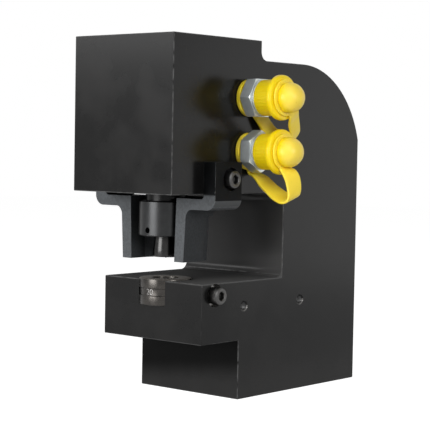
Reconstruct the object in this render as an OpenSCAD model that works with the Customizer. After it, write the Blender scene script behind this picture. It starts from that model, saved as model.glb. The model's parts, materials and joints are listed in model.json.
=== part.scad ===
// Hydraulic punching head: a one-piece C-frame with a double-acting ram, punch, die and stripper,
// and two hose couplers with dust caps on its right side.
// Origin: centre of the base's underside. X to the right, Y to the back, Z up. All sizes in mm.

/* [Frame] */
// Width of the whole frame, from side to side
frame_w = 100; // [92:1:130]
// Height of the head above the base's underside
frame_h = 272; // [266:1:340]
// Height of the back plate behind the head
plate_h = 257; // [225:1:264]
// Depth of the base, from front to back
base_d = 152; // [130:1:190]
// Height of the base up to the jaw's underside
base_h = 45; // [25:1:80]
// Thickness of the jaw that holds the die
jaw_h = 45; // [36:1:60]
// How far the jaw stands out in front of the base
jaw_reach = 43; // [36:1:60]
// How far the head stands out in front of the base
head_reach = 78; // [72:1:100]
// Depth of the head, from front to back
head_d = 100; // [94:1:120]
// Open height between the jaw and the head
throat_h = 66; // [62:1:80]
// Depth of the throat behind the jaw's front
throat_d = 95; // [84:1:115]
// Radius of the back plate's top corner
corner_r = 80; // [30:1:90]
// How far that corner's circle would reach past the back face
corner_over = 3; // [0:0.5:6]
// Radius of the frame's inside corners
fillet_r = 7; // [2:0.5:10]
// Chamfer along the frame's outer edges
edge_chamfer = 0.6; // [0.3:0.1:2]

/* [Cylinder and ram] */
// Distance of the punch axis behind the head's front
punch_inset = 50; // [47:1:60]
// Bore of the cylinder
bore_d = 72; // [66:0.5:74]
// Stroke of the ram
stroke = 22; // [10:1:23]
// Diameter of the piston rod
rod_d = 32; // [26:1:34]
// Height of the piston
piston_h = 15; // [13:1:16]
// Length of the gland's threaded part
gland_thread_h = 18; // [14:1:20]
// Length of the gland's pilot above its thread
gland_pilot_h = 10; // [8:1:12]
// Outer diameter of the gland's thread
gland_d = 75; // [75:0.5:77]

/* [Punch and die] */
// Diameter of the punch's cutting end
punch_d = 20; // [10:0.5:21]
// Diameter of the punch's neck
punch_neck_d = 17.5; // [8:0.5:17.5]
// Length of the punch below its head
punch_len = 20; // [12:1:21]
// Diameter of the punch nut
nut_d = 42; // [38:0.5:43]
// Height of the punch nut
nut_h = 26.6; // [22:0.2:27]
// Diameter of the tommy bar hole in the punch nut
tommy_d = 4.5; // [3:0.1:6]
// Diameter of the die
die_d = 40; // [33:0.5:44]
// Height of the die
die_h = 20; // [16:0.5:24]
// How far the die stands above the jaw
die_proud = 1; // [0.5:0.1:3]
// Gap between the punch and the die's cutting edge, on each side
die_gap = 0.3; // [0.1:0.05:0.6]
// Diameter of the hole that the slugs fall through
slug_d = 25; // [23:0.5:28]

/* [Stripper] */
// Inner radius of the stripper's U-shaped wall
strip_r = 22; // [21.5:0.1:26.5]
// Thickness of the U-shaped wall
strip_wall = 9; // [6:0.5:9]
// Height of the stripper's lower edge above the jaw
strip_gap = 15; // [10:0.5:18]
// Thickness of the two arms
arm_h = 8; // [6:0.5:10]
// Gap between the arms and the head's underside
arm_gap = 3.5; // [1:0.5:5]
// Thickness of the two ears
ear_t = 11; // [9:0.5:14]
// Depth of the arms and ears, from front to back
ear_d = 30; // [26:1:40]
// Height of the ears above the head's underside
ear_h = 24; // [22:1:30]

/* [Couplers] */
// Distance of the couplers behind the head's front
port_inset = 83.5; // [82:0.5:85]
// Height of the lower coupler above the head's underside
port_h = 32; // [31.5:0.5:33]
// Distance between the two couplers
port_pitch = 40; // [39.5:0.5:41]
// Width across the flats of the coupler's hexagon
coupler_af = 28; // [23:0.5:32]
// Thickness of the coupler's hexagon
coupler_hex_t = 9; // [6:0.5:12]
// Outer radius of the dust cap's skirt
cap_r = 13.5; // [12:0.1:15]
// Length of the dust cap's skirt
cap_skirt = 14; // [12:0.5:20]
// Outer radius of the dust cap's flange
cap_flange_r = 16.8; // [15:0.1:18]
// Radius of the dust cap's round knob
knob_r = 11.2; // [9:0.1:12]
// How far the upper cap's strap is swung towards the back
upper_swing = 40; // [35:1:60]

/* [Screws] */
// Thread diameter of the cap screws
screw_d = 8; // [6:0.5:8]
// Diameter of the counterbores for the cap screws
counterbore_d = 17.5; // [15:0.5:18]
// Depth of the counterbores
counterbore_t = 3.5; // [2:0.5:5]
// Distance between the two tapped holes in the right side
side_hole_pitch = 70; // [40:1:80]
// Tapping diameter of the two holes in the right side
side_hole_d = 6.8; // [4:0.1:8.5]

/* [Clearances] */
// Gap between a thread and its hole, on each side
thread_gap = 0.05; // [0.02:0.01:0.1]
// Gap round a rod or piston that slides, on each side
slide_gap = 0.05; // [0.02:0.01:0.1]
// Gap round the die in its pocket, on each side
pocket_gap = 0.1; // [0.05:0.05:0.3]
// Gap round a dust cap or a strap's ring, on each side
cap_gap = 0.3; // [0.2:0.05:0.5]

/* [Hidden] */
$fn = 96;
lap = 1; // how far a cutter or a filler runs past the face it works on

// Heights
jaw_top = base_h + jaw_h;
head_bottom = jaw_top + throat_h;

// Places along Y
base_front = -base_d / 2;
base_back = base_d / 2;
jaw_front = base_front - jaw_reach;
head_front = base_front - head_reach;
head_back = head_front + head_d;
throat_back = jaw_front + throat_d;
punch_y = head_front + punch_inset;
port_y = head_front + port_inset;

// Cylinder, from the head's underside upwards
gland_thread_top = head_bottom + gland_thread_h;
gland_top = gland_thread_top + gland_pilot_h;
spigot_h = 3;
stop_gap = 1; // left between the piston's spigot and the gland at the end of the stroke
spigot_bottom = gland_top + stop_gap + stroke;
piston_bottom = spigot_bottom + spigot_h;
piston_top = piston_bottom + piston_h;
bore_above_port = 6; // height of the bore above the upper port's axis
bore_top = head_bottom + port_h + port_pitch + bore_above_port;
spigot_inset = 6;
spigot_r = bore_d / 2 - spigot_inset;
port_wall = 10; // the port drillings stop this far from the frame's middle
rod_r = rod_d / 2;
rod_hole_r = rod_r + slide_gap;

// Rod seals in the gland, measured down from its top and up from its underside
seal_depth = 5; // radial depth of the rod seal's groove
seal_h = 6;
seal_drop = 4; // depth of the rod seal's lower face below the top of the gland's thread
seal_z = gland_thread_top - seal_drop;
wiper_h = 5;
wiper_depth = 4;
ring_slack = 0.1; // free height of a seal in its groove, at each end
gland_ring_h = 3.6;
gland_ring_depth = 2.6;
gland_ring_up = 3.5;
gland_ring_z = gland_thread_top + gland_ring_up;
spanner_hole_d = 5;
spanner_hole_h = 6;

// Grooves in the piston, measured up from its underside
piston_land = 2; // height of the piston's lands below and above the guide ring
guide_z = piston_bottom + piston_land;
guide_h = 3.5;
guide_depth = 2.5;
piston_seal_z = guide_z + guide_h + piston_land;
piston_seal_h = 4.5;
piston_seal_depth = 4.5;

// Punch and its nut: the nut's top lies below the gland, and the punch's head sits on the nut's lip
nut_drop = 6.4;
nut_top = head_bottom - nut_drop;
nut_bottom = nut_top - nut_h;
nut_edge = 0.8;
nut_lip = 4;
nut_wall = 6.8; // wall of the nut round the punch's head
punch_head_h = 7;
punch_head_r = nut_d / 2 - nut_wall;
rod_bottom = nut_bottom + nut_lip + punch_head_h;
punch_tip = nut_bottom + nut_lip - punch_len;
punch_land = 5; // height of the cutting end before the punch narrows to its neck
nib_h = 1.2;
nib_r = 1.5;
tommy_up = 4.5;
tommy_z = nut_bottom + tommy_up;
tommy_depth = 4.5;

// Die
die_top = jaw_top + die_proud;
die_bottom = die_top - die_h;
die_r = die_d / 2;
die_hole_r = punch_d / 2 + die_gap;
die_edge = 0.5;
die_land = 6; // height of the die's cutting edge, above its wider relief
die_relief = 1; // how much wider the relief is, on each side
groove_up = 7;
groove_bottom = die_bottom + groove_up;
groove_h = 6;
groove_depth = 0.6;
lock_z = groove_bottom + groove_h / 2;

// Stripper
strip_outer_r = strip_r + strip_wall;
strip_bottom = jaw_top + strip_gap;
arm_top = head_bottom - arm_gap;
arm_bottom = arm_top - arm_h;
ear_top = head_bottom + ear_h;
ear_outer = frame_w / 2 + ear_t;
ear_corner_r = 8;
leg_fillet_r = 6;
ear_fillet_r = 2.5;
ear_screw_back = 3; // distance of the ear's screw behind the middle of the ear
ear_screw_drop = 12.7; // and below its top
ear_screw_y = jaw_front + ear_d / 2 + ear_screw_back;
ear_screw_z = ear_top - ear_screw_drop;

// Cap screws: ISO 4762 proportions on the thread diameter
head_to_thread = 1.625;
key_to_thread = 0.75;
screw_head_r = screw_d * head_to_thread / 2;
screw_head_edge = 0.9;
screw_key = screw_d * key_to_thread;
screw_hole_r = screw_d / 2 + thread_gap;
screw_hole_spare = 0.5; // depth left under the point of a screw
stripper_screw_grip = 10; // length of thread in the head
lock_screw_stand = 2; // the lock screw's head stops this far short of its counterbore
screw_point = 0.8;
lock_point = 1.8; // long enough to enter the die's groove

// Tapped holes in the right side of the base
side_hole_back = 6;
side_hole_drop = 19;
side_hole_y = base_front + side_hole_back;
side_hole_z = jaw_top - side_hole_drop;
side_hole_depth = 14;
side_sink = 0.8; // countersink of the two holes

// Couplers, measured along X from the frame's side
port_thread_r = 8.3;
port_thread_l = 14;
thread_point = 1;
thread_short = 0.5; // the thread ends this far before the bottom of its port
port_drill_r = 3;
neck_r = 8.5;
neck_l = 5.5;
hex_end = neck_l + coupler_hex_t;
collar_inset = 0.25; // the collar is this much smaller than the hexagon's flats
collar_t = 2;
collar_r = coupler_af / 2 - collar_inset;
collar_end = hex_end + collar_t;
cap_wall = 1.8;
nose_r = cap_r - cap_wall - cap_gap;
nose_out = 1.5; // how far the nose stands out of the cap's skirt, inside its flange
nose_end = collar_end + cap_skirt + nose_out;
nose_edge = 1;
thread_end = thread_short - port_thread_l;
hex_edge = 1;
collar_edge = 0.4;
lock_from_collar = 6;
lock_x = collar_end + lock_from_collar; // groove for a hose coupler's locking balls
lock_w = 4.4;
lock_t = 1.2;
chamber_r = 6;
mouth_r = 3.6;
mouth_l = 7;
seat_l = 3;
seat_end = nose_end - mouth_l;
seat_start = seat_end - seat_l;
poppet_gap = 0.2; // between the poppet and its chamber, and between the poppet and its seat
poppet_r = chamber_r - poppet_gap;
stem_gap = 0.5; // between the poppet's stem and the mouth, and at the stem's tip
poppet_stem_r = mouth_r - stem_gap;
poppet_l = 6;
poppet_back = seat_start - poppet_l;
seal_groove_t = 1.6; // depth of the groove for the poppet's seal
seal_groove_w = 2;
seal_land = 1; // length of the poppet between its seal and its cone
seal_groove_x = seat_start - seal_land - seal_groove_w;
guide_r = 1.6;
poppet_travel = 3;
retainer_lip = 0.5;
retainer_r = chamber_r + retainer_lip;
retainer_inset = 2;
retainer_start = retainer_inset - port_thread_l;
guide_out = 1; // the poppet's guide pin stands out of the retainer by this when it is pushed in
guide_end = retainer_start - guide_out + poppet_travel;
retainer_t = 1.2;
oil_hole_r = 1.3;
oil_hole_at = 3.9;
spring_r = 4.2;
wire_r = 0.5;
spring_turns = 7;

// Dust caps, measured along X from the frame's side
cap_start = collar_end + cap_gap;
flange_start = collar_end + cap_skirt;
flange_t = 4.5;
flange_end = flange_start + flange_t;
flange_edge = 0.8;
flange_round = 1.6;
skirt_edge = 0.5;
eyelet_r = 13.6;
eyelet_hole_r = 8.8;
eyelet_t = 1.7;
cap_neck_r = eyelet_hole_r - cap_gap;
cap_neck_end = flange_end + eyelet_t + 2 * cap_gap;
knob_out = 5;
knob_x = flange_end + knob_out;

// Straps
ring_r = 14;
ring_t = 3.5;
strap_w = 12;
strap_t = 2.2;

// ---- shapes that repeat ----

// Turns a shape made along +Z so that it runs along +X
module along_x() {
    rotate([0, 90, 0]) children();
}

// The same on the left side of the frame
module along_minus_x() {
    rotate([0, -90, 0]) children();
}

module on_punch_axis() {
    translate([0, punch_y, 0]) children();
}

// A ring of square section round the Z axis
module ring(inner_r, outer_r, z, h) {
    translate([0, 0, z]) difference() {
        cylinder(r = outer_r, h = h);
        translate([0, 0, -lap]) cylinder(r = inner_r, h = h + 2 * lap);
    }
}

// Fills the inside corner between a wall at x = 0 and a wall at y = 0, along Z from 0 to len
module inside_corner(r, len) {
    difference() {
        translate([-lap, -lap, 0]) cube([r + lap, r + lap, len]);
        translate([r, r, -lap]) cylinder(r = r, h = len + 2 * lap);
    }
}

// Cuts the outside corner at x = 0, y = 0 of a block that lies at negative x and y, to a radius
module outside_corner(r, len) {
    difference() {
        translate([-r, -r, 0]) cube([r + lap, r + lap, len]);
        translate([-r, -r, -lap]) cylinder(r = r, h = len + 2 * lap);
    }
}

// Socket head cap screw along Z: the thread ends at z = 0 with a point of that height, and the
// head's underside is at z = len
module cap_screw(len, point) {
    difference() {
        rotate_extrude() polygon([[0, 0], [screw_d / 2 - point, 0], [screw_d / 2, point],
            [screw_d / 2, len], [screw_head_r, len],
            [screw_head_r, len + screw_d - screw_head_edge],
            [screw_head_r - screw_head_edge, len + screw_d], [0, len + screw_d]]);
        translate([0, 0, len + screw_d / 2])
            cylinder(d = screw_key / cos(30), h = screw_d, $fn = 6);
    }
}

// ---- frame ----

// The frame's outline seen from its right side, as [y, z], clockwise from the base's front foot
OUTLINE = [[base_front, 0], [base_front, base_h], [jaw_front, base_h], [jaw_front, jaw_top],
    [throat_back, jaw_top], [throat_back, head_bottom], [head_front, head_bottom],
    [head_front, frame_h], [head_back, frame_h], [head_back, plate_h], [base_back, plate_h],
    [base_back, 0]];
function wrap(i) = (i + len(OUTLINE)) % len(OUTLINE);
function corner(i) = OUTLINE[wrap(i)];
function step_to(a, b) = (b - a) / norm(b - a);
// Above zero where the outline turns outwards, below zero at an inside corner
function turn(i) = let (a = step_to(corner(i - 1), corner(i)), b = step_to(corner(i), corner(i + 1)))
    a[1] * b[0] - a[0] * b[1];
ROUND_CORNER = 10;

// The back plate's top corner: its circle starts along the top and meets the back face at a slight
// angle, this far from the plate's own corner along the top and down the back
corner_along = corner_r - corner_over;
corner_down = corner_r - sqrt(pow(corner_r, 2) - pow(corner_along, 2));

// The outline with its outside corners cut off by the edge chamfer
function chamfered_outline() = [for (i = [0 : len(OUTLINE) - 1])
    each (turn(i) > 0 && i != ROUND_CORNER)
        ? [corner(i) + edge_chamfer * step_to(corner(i), corner(i - 1)),
            corner(i) + edge_chamfer * step_to(corner(i), corner(i + 1))]
        : [corner(i)]];

// Draws a [y, z] outline as a plate across the frame's width
module across_frame() {
    rotate([90, 0, 90]) linear_extrude(frame_w, center = true) children();
}

// Places a corner filler or cutter, made along Z, across the frame at a point of the outline
module at_outline(y, z, turned) {
    translate([-frame_w / 2 - lap, y, z]) rotate([90, 0, 90]) rotate([0, 0, turned]) children();
}

// Section of the chamfer cutter: x is the distance across the frame, y the distance into the face
module chamfer_section() {
    edge = frame_w / 2;
    polygon([[edge - edge_chamfer - lap, -lap], [edge + lap, -lap],
        [edge + lap, edge_chamfer + lap]]);
}

// Cuts both long edges of one straight run of the outline
module run_chamfer(a, b, start_lap, end_lap) {
    along = step_to(a, b);
    run = norm(b - a);
    translate([0, a[0], a[1]]) rotate([atan2(-along[0], along[1]), 0, 0])
        translate([0, 0, -start_lap]) linear_extrude(run + start_lap + end_lap) {
            chamfer_section();
            mirror([1, 0]) chamfer_section();
        }
}

// Cuts both edges along a quarter round of the outline: way is 1 at an outside corner and -1 at an
// inside one, and start turns the quarter, which runs from straight down towards the back
module round_chamfer(r, way, start) {
    edge = frame_w / 2;
    rotate([0, 90, 0]) rotate([0, 0, start]) rotate_extrude(angle = 90)
        for (side = [1, -1])
            polygon([[r - way * (edge_chamfer + lap), side * (edge + lap)],
                [r + way * lap, side * (edge + lap)],
                [r + way * lap, side * (edge - edge_chamfer - lap)]]);
}

// How far a straight run's cutter is held back or runs on at one of its ends
function end_lap(i, at_round) = i == ROUND_CORNER ? -at_round : (turn(i) > 0 ? lap : -fillet_at(i));
function fillet_at(i) = corner(i)[1] == base_h ? 0 : fillet_r;

module frame_block() {
    difference() {
        union() {
            across_frame() polygon(chamfered_outline());
            at_outline(throat_back, jaw_top, 90) translate([0, 0, lap])
                inside_corner(fillet_r, frame_w);
            at_outline(throat_back, head_bottom, 180) translate([0, 0, lap])
                inside_corner(fillet_r, frame_w);
            at_outline(head_back, plate_h, 0) translate([0, 0, lap])
                inside_corner(fillet_r, frame_w);
        }
        at_outline(base_back + corner_over, plate_h, 0)
            outside_corner(corner_r, frame_w + 2 * lap);
        for (i = [0 : len(OUTLINE) - 1])
            run_chamfer(corner(i), corner(i + 1), end_lap(i, corner_down - lap),
                end_lap(wrap(i + 1), corner_along));
        translate([0, base_back - corner_along, plate_h - corner_r])
            round_chamfer(corner_r, 1, 90);
        translate([0, throat_back - fillet_r, jaw_top + fillet_r])
            round_chamfer(fillet_r, -1, 0);
        translate([0, throat_back - fillet_r, head_bottom - fillet_r])
            round_chamfer(fillet_r, -1, 90);
        translate([0, head_back + fillet_r, plate_h + fillet_r])
            round_chamfer(fillet_r, -1, 270);
    }
}

// Cylinder bore with the gland's thread, and the two oil ports that break into it
module cylinder_bore() {
    on_punch_axis() {
        translate([0, 0, head_bottom - lap])
            cylinder(r = gland_d / 2 + thread_gap, h = gland_thread_h + lap);
        translate([0, 0, head_bottom]) cylinder(d = bore_d, h = bore_top - head_bottom);
    }
    for (z = [port_h, port_h + port_pitch])
        translate([frame_w / 2, port_y, head_bottom + z]) along_minus_x() {
            translate([0, 0, -lap])
                cylinder(r = port_thread_r + thread_gap, h = port_thread_l + lap);
            cylinder(r = port_drill_r, h = frame_w / 2 - port_wall);
        }
}

module stripper_screw_holes() {
    for (side = [1, -1])
        translate([side * (frame_w / 2 + lap), ear_screw_y, ear_screw_z])
            rotate([0, -90 * side, 0])
                cylinder(r = screw_hole_r, h = stripper_screw_grip + lap + screw_hole_spare);
}

// Pocket for the die, the slug hole under it, and the hole for the die's lock screw
module die_seat() {
    on_punch_axis() {
        translate([0, 0, die_bottom])
            cylinder(r = die_r + pocket_gap, h = jaw_top - die_bottom + lap);
        translate([0, 0, base_h - lap]) cylinder(d = slug_d, h = jaw_h);
    }
    translate([frame_w / 2, punch_y, lock_z]) along_minus_x() {
        translate([0, 0, -lap]) cylinder(d = counterbore_d, h = counterbore_t + lap);
        cylinder(r = screw_hole_r, h = frame_w / 2 - die_r + 2 * lap);
    }
}

module side_holes() {
    for (y = [side_hole_y, side_hole_y + side_hole_pitch])
        translate([frame_w / 2, y, side_hole_z]) along_minus_x() {
            cylinder(d = side_hole_d, h = side_hole_depth);
            translate([0, 0, -lap])
                cylinder(r1 = side_hole_d / 2 + side_sink + lap, r2 = side_hole_d / 2,
                    h = side_sink + lap);
        }
}

module frame() {
    color([0.09, 0.09, 0.09]) difference() {
        frame_block();
        cylinder_bore();
        stripper_screw_holes();
        die_seat();
        side_holes();
    }
}

// ---- cylinder and ram ----

module gland_nut() {
    thread_r = gland_d / 2;
    pilot_r = bore_d / 2 - slide_gap;
    key_r = (nut_d / 2 + thread_r) / 2; // pitch radius of the pin spanner's holes
    color("dimgray") on_punch_axis() difference() {
        union() {
            translate([0, 0, head_bottom]) cylinder(r = thread_r, h = gland_thread_h);
            translate([0, 0, head_bottom]) cylinder(r = pilot_r, h = gland_top - head_bottom);
        }
        translate([0, 0, head_bottom - lap])
            cylinder(r = rod_hole_r, h = gland_top - head_bottom + 2 * lap);
        translate([0, 0, head_bottom - lap])
            cylinder(r = rod_r + wiper_depth, h = wiper_h + lap);
        translate([0, 0, seal_z]) cylinder(r = rod_r + seal_depth, h = seal_h);
        ring(pilot_r - gland_ring_depth, pilot_r + lap, gland_ring_z, gland_ring_h);
        for (a = [0, 90, 180, 270])
            rotate([0, 0, a]) translate([key_r, 0, head_bottom - lap])
                cylinder(d = spanner_hole_d, h = spanner_hole_h + lap);
    }
}

module gland_o_ring() {
    pilot_r = bore_d / 2 - slide_gap;
    color("black") on_punch_axis()
        ring(pilot_r - gland_ring_depth + slide_gap, bore_d / 2 - slide_gap,
            gland_ring_z + ring_slack, gland_ring_h - 2 * ring_slack);
}

module rod_seal() {
    color("black") on_punch_axis()
        ring(rod_hole_r, rod_r + seal_depth - slide_gap, seal_z + ring_slack,
            seal_h - 2 * ring_slack);
}

module rod_wiper() {
    color("black") on_punch_axis()
        ring(rod_hole_r, rod_r + wiper_depth - slide_gap, head_bottom,
            wiper_h - ring_slack);
}

module piston_rod() {
    piston_r = bore_d / 2 - slide_gap;
    color("silver") on_punch_axis() difference() {
        union() {
            translate([0, 0, rod_bottom])
                cylinder(r = rod_r, h = piston_top - rod_bottom);
            translate([0, 0, spigot_bottom])
                cylinder(r = spigot_r, h = spigot_h);
            translate([0, 0, piston_bottom])
                cylinder(r = piston_r, h = piston_h);
        }
        ring(piston_r - guide_depth, piston_r + lap, guide_z, guide_h);
        ring(piston_r - piston_seal_depth, piston_r + lap, piston_seal_z, piston_seal_h);
    }
}

module piston_seal() {
    piston_r = bore_d / 2 - slide_gap;
    color("black") on_punch_axis()
        ring(piston_r - piston_seal_depth + slide_gap, piston_r,
            piston_seal_z + ring_slack, piston_seal_h - 2 * ring_slack);
}

module piston_guide_ring() {
    piston_r = bore_d / 2 - slide_gap;
    color("sienna") on_punch_axis()
        ring(piston_r - guide_depth + slide_gap, piston_r, guide_z + ring_slack,
            guide_h - 2 * ring_slack);
}

// ---- punch and die ----

module punch_nut() {
    r = nut_d / 2;
    color([0.32, 0.32, 0.34]) on_punch_axis() difference() {
        rotate_extrude() polygon([[0, nut_bottom], [r - nut_edge, nut_bottom],
            [r, nut_bottom + nut_edge], [r, nut_top - nut_edge], [r - nut_edge, nut_top],
            [0, nut_top]]);
        translate([0, 0, rod_bottom])
            cylinder(r = rod_r + thread_gap, h = nut_top - rod_bottom + lap);
        translate([0, 0, nut_bottom + nut_lip])
            cylinder(r = punch_head_r + thread_gap, h = punch_head_h + lap);
        translate([0, 0, nut_bottom - lap])
            cylinder(r = punch_d / 2 + die_gap, h = nut_lip + 2 * lap);
        translate([0, -r - lap, tommy_z]) rotate([-90, 0, 0])
            cylinder(d = tommy_d, h = tommy_depth + lap);
    }
}

module punch() {
    head_z = nut_bottom + nut_lip;
    r = punch_d / 2;
    neck = punch_neck_d / 2;
    color([0.45, 0.43, 0.42]) on_punch_axis() rotate_extrude()
        polygon([[0, punch_tip - nib_h], [nib_r, punch_tip], [r, punch_tip],
            [r, punch_tip + punch_land], [neck, nut_bottom], [neck, head_z],
            [punch_head_r, head_z], [punch_head_r, rod_bottom], [0, rod_bottom]]);
}

module die() {
    groove_r = die_r - groove_depth;
    color([0.35, 0.34, 0.33]) on_punch_axis() difference() {
        rotate_extrude() polygon([[0, die_bottom], [die_r - die_edge, die_bottom],
            [die_r, die_bottom + die_edge], [die_r, groove_bottom],
            [groove_r, groove_bottom + groove_depth],
            [groove_r, groove_bottom + groove_h - groove_depth], [die_r, groove_bottom + groove_h],
            [die_r, die_top - die_edge], [die_r - die_edge, die_top], [0, die_top]]);
        translate([0, 0, die_bottom - lap]) cylinder(r = die_hole_r, h = die_h + 2 * lap);
        translate([0, 0, die_bottom - lap])
            cylinder(r = die_hole_r + die_relief, h = die_h - die_land + lap);
    }
}

module die_lock_screw() {
    head_x = frame_w / 2 - counterbore_t + lock_screw_stand;
    tip_x = die_r - groove_depth + thread_gap;
    color([0.1, 0.1, 0.11]) translate([tip_x, punch_y, lock_z]) along_x()
        cap_screw(head_x - tip_x, lock_point);
}

// ---- stripper ----

// One ear, arm and leg, drawn on the right side
module stripper_side() {
    half = frame_w / 2;
    difference() {
        translate([strip_r + strip_wall / 2, jaw_front, arm_bottom])
            cube([ear_outer - strip_r - strip_wall / 2, ear_d, ear_top - arm_bottom]);
        translate([0, jaw_front - lap, arm_top]) cube([half, ear_d + 2 * lap, ear_top]);
        translate([ear_outer, jaw_front - lap, arm_bottom]) rotate([90, 0, 0]) mirror([0, 0, 1])
            mirror([0, 1, 0]) outside_corner(ear_corner_r, ear_d + 2 * lap);
    }
    translate([strip_outer_r, jaw_front, arm_bottom]) rotate([90, 0, 0]) mirror([0, 0, 1])
        mirror([0, 1, 0]) inside_corner(leg_fillet_r, ear_d);
    translate([half, jaw_front, arm_top]) rotate([90, 0, 0]) mirror([0, 0, 1])
        mirror([1, 0, 0]) inside_corner(ear_fillet_r, ear_d);
}

// Half a circle to the back, with straight legs of that length to the front
module u_shape(r, leg) {
    intersection() {
        circle(r = r);
        translate([-r, 0]) square([2 * r, r]);
    }
    translate([-r, -leg]) square([2 * r, leg + lap / 10]);
}

module stripper() {
    leg = punch_y - jaw_front;
    color([0.3, 0.3, 0.31]) difference() {
        union() {
            stripper_side();
            mirror([1, 0, 0]) stripper_side();
            on_punch_axis() translate([0, 0, strip_bottom])
                linear_extrude(arm_top - strip_bottom) u_shape(strip_outer_r, leg);
        }
        on_punch_axis() translate([0, 0, strip_bottom - lap])
            linear_extrude(arm_top - strip_bottom + 2 * lap) u_shape(strip_r, leg + lap);
        for (side = [1, -1])
            translate([side * (ear_outer + lap), ear_screw_y, ear_screw_z])
                rotate([0, -90 * side, 0]) {
                    cylinder(r = screw_hole_r, h = ear_t + 2 * lap);
                    cylinder(d = counterbore_d, h = counterbore_t + lap);
                }
    }
}

module stripper_screw(side) {
    len = stripper_screw_grip + ear_t - counterbore_t;
    color([0.1, 0.1, 0.11])
        translate([side * (frame_w / 2 - stripper_screw_grip), ear_screw_y, ear_screw_z])
            rotate([0, 90 * side, 0]) cap_screw(len, screw_point);
}

// ---- couplers ----

// Puts a coupler's shape, made along +Z from the frame's side, on its port
module at_port(z) {
    translate([frame_w / 2, port_y, head_bottom + z]) along_x() children();
}

// Outside of the coupler's turned parts: thread, neck, core of the hexagon, collar and nose
module coupler_turning() {
    rotate_extrude() polygon([[0, thread_end], [port_thread_r - thread_point, thread_end],
        [port_thread_r, thread_end + thread_point],
        [port_thread_r, 0], [neck_r, 0], [neck_r, neck_l], [nose_r, neck_l], [nose_r, hex_end],
        [collar_r - collar_edge, hex_end], [collar_r, hex_end + collar_edge], [collar_r, collar_end],
        [nose_r, collar_end], [nose_r, lock_x], [nose_r - lock_t, lock_x + lock_t],
        [nose_r - lock_t, lock_x + lock_w - lock_t], [nose_r, lock_x + lock_w],
        [nose_r, nose_end - nose_edge], [nose_r - nose_edge, nose_end], [0, nose_end]]);
}

// Hexagon with its corners turned off at both ends
module coupler_hexagon(turned) {
    point_r = coupler_af / 2 / cos(30);
    intersection() {
        translate([0, 0, neck_l]) rotate([0, 0, turned])
            cylinder(r = point_r, h = coupler_hex_t, $fn = 6);
        rotate_extrude() polygon([[0, neck_l], [point_r - hex_edge, neck_l],
            [point_r + hex_edge, neck_l + hex_edge], [point_r + hex_edge, hex_end - hex_edge],
            [point_r - hex_edge, hex_end], [0, hex_end]]);
    }
}

module coupler_body(z, turned) {
    color([0.6, 0.62, 0.65]) at_port(z) difference() {
        union() {
            coupler_turning();
            coupler_hexagon(turned);
        }
        rotate_extrude() polygon([[0, thread_end - lap], [chamber_r, thread_end - lap],
            [chamber_r, seat_start], [mouth_r, seat_end], [mouth_r, nose_end + lap],
            [0, nose_end + lap]]);
        ring(chamber_r - lap, retainer_r + thread_gap, retainer_start - thread_gap,
            retainer_t + 2 * thread_gap);
    }
}

// Disc with three oil holes that holds the spring and guides the poppet's stem
module spring_retainer(z) {
    color("silver") at_port(z) difference() {
        translate([0, 0, retainer_start]) cylinder(r = retainer_r, h = retainer_t);
        translate([0, 0, retainer_start - lap])
            cylinder(r = guide_r + slide_gap, h = retainer_t + 2 * lap);
        for (a = [0, 120, 240])
            rotate([0, 0, a]) translate([oil_hole_at, 0, retainer_start - lap])
                cylinder(r = oil_hole_r, h = retainer_t + 2 * lap);
    }
}

module poppet(z) {
    groove_r = poppet_r - seal_groove_t;
    groove_end = seal_groove_x + seal_groove_w;
    color("silver") at_port(z) rotate_extrude()
        polygon([[0, guide_end], [guide_r, guide_end], [guide_r, poppet_back],
            [poppet_r, poppet_back], [poppet_r, seal_groove_x], [groove_r, seal_groove_x],
            [groove_r, groove_end], [poppet_r, groove_end], [poppet_r, seat_start - poppet_gap],
            [poppet_stem_r, seat_end - poppet_gap], [poppet_stem_r, nose_end - stem_gap],
            [0, nose_end - stem_gap]]);
}

module poppet_seal(z) {
    groove_r = poppet_r - seal_groove_t;
    color("black") at_port(z)
        ring(groove_r + thread_gap, poppet_r, seal_groove_x + ring_slack,
            seal_groove_w - 2 * ring_slack);
}

// Coil spring as a swept wire: rings of points that follow a helix, one end flat on the retainer
WIRE_SIDES = 6;
STEPS_PER_TURN = 14;
function coil_ring(i, z0, z1) =
    let (n = spring_turns * STEPS_PER_TURN, a = 360 * i / STEPS_PER_TURN,
        z = z0 + (z1 - z0) * i / n)
    [for (k = [0 : WIRE_SIDES - 1]) let (b = 360 * k / WIRE_SIDES, r = spring_r + wire_r * cos(b))
        [r * cos(a), r * sin(a), z + wire_r * sin(b)]];

module valve_spring(z) {
    n = spring_turns * STEPS_PER_TURN;
    z0 = retainer_start + retainer_t + wire_r + thread_gap;
    z1 = poppet_back - wire_r - thread_gap;
    points = [for (i = [0 : n]) each coil_ring(i, z0, z1)];
    walls = [for (i = [0 : n - 1]) for (k = [0 : WIRE_SIDES - 1])
        let (a = i * WIRE_SIDES + k, b = i * WIRE_SIDES + (k + 1) % WIRE_SIDES)
        each [[a, b, b + WIRE_SIDES], [a, b + WIRE_SIDES, a + WIRE_SIDES]]];
    ends = [[for (k = [WIRE_SIDES - 1 : -1 : 0]) k],
        [for (k = [0 : WIRE_SIDES - 1]) n * WIRE_SIDES + k]];
    color("lightgray") at_port(z) polyhedron(points, concat(walls, ends));
}

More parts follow.
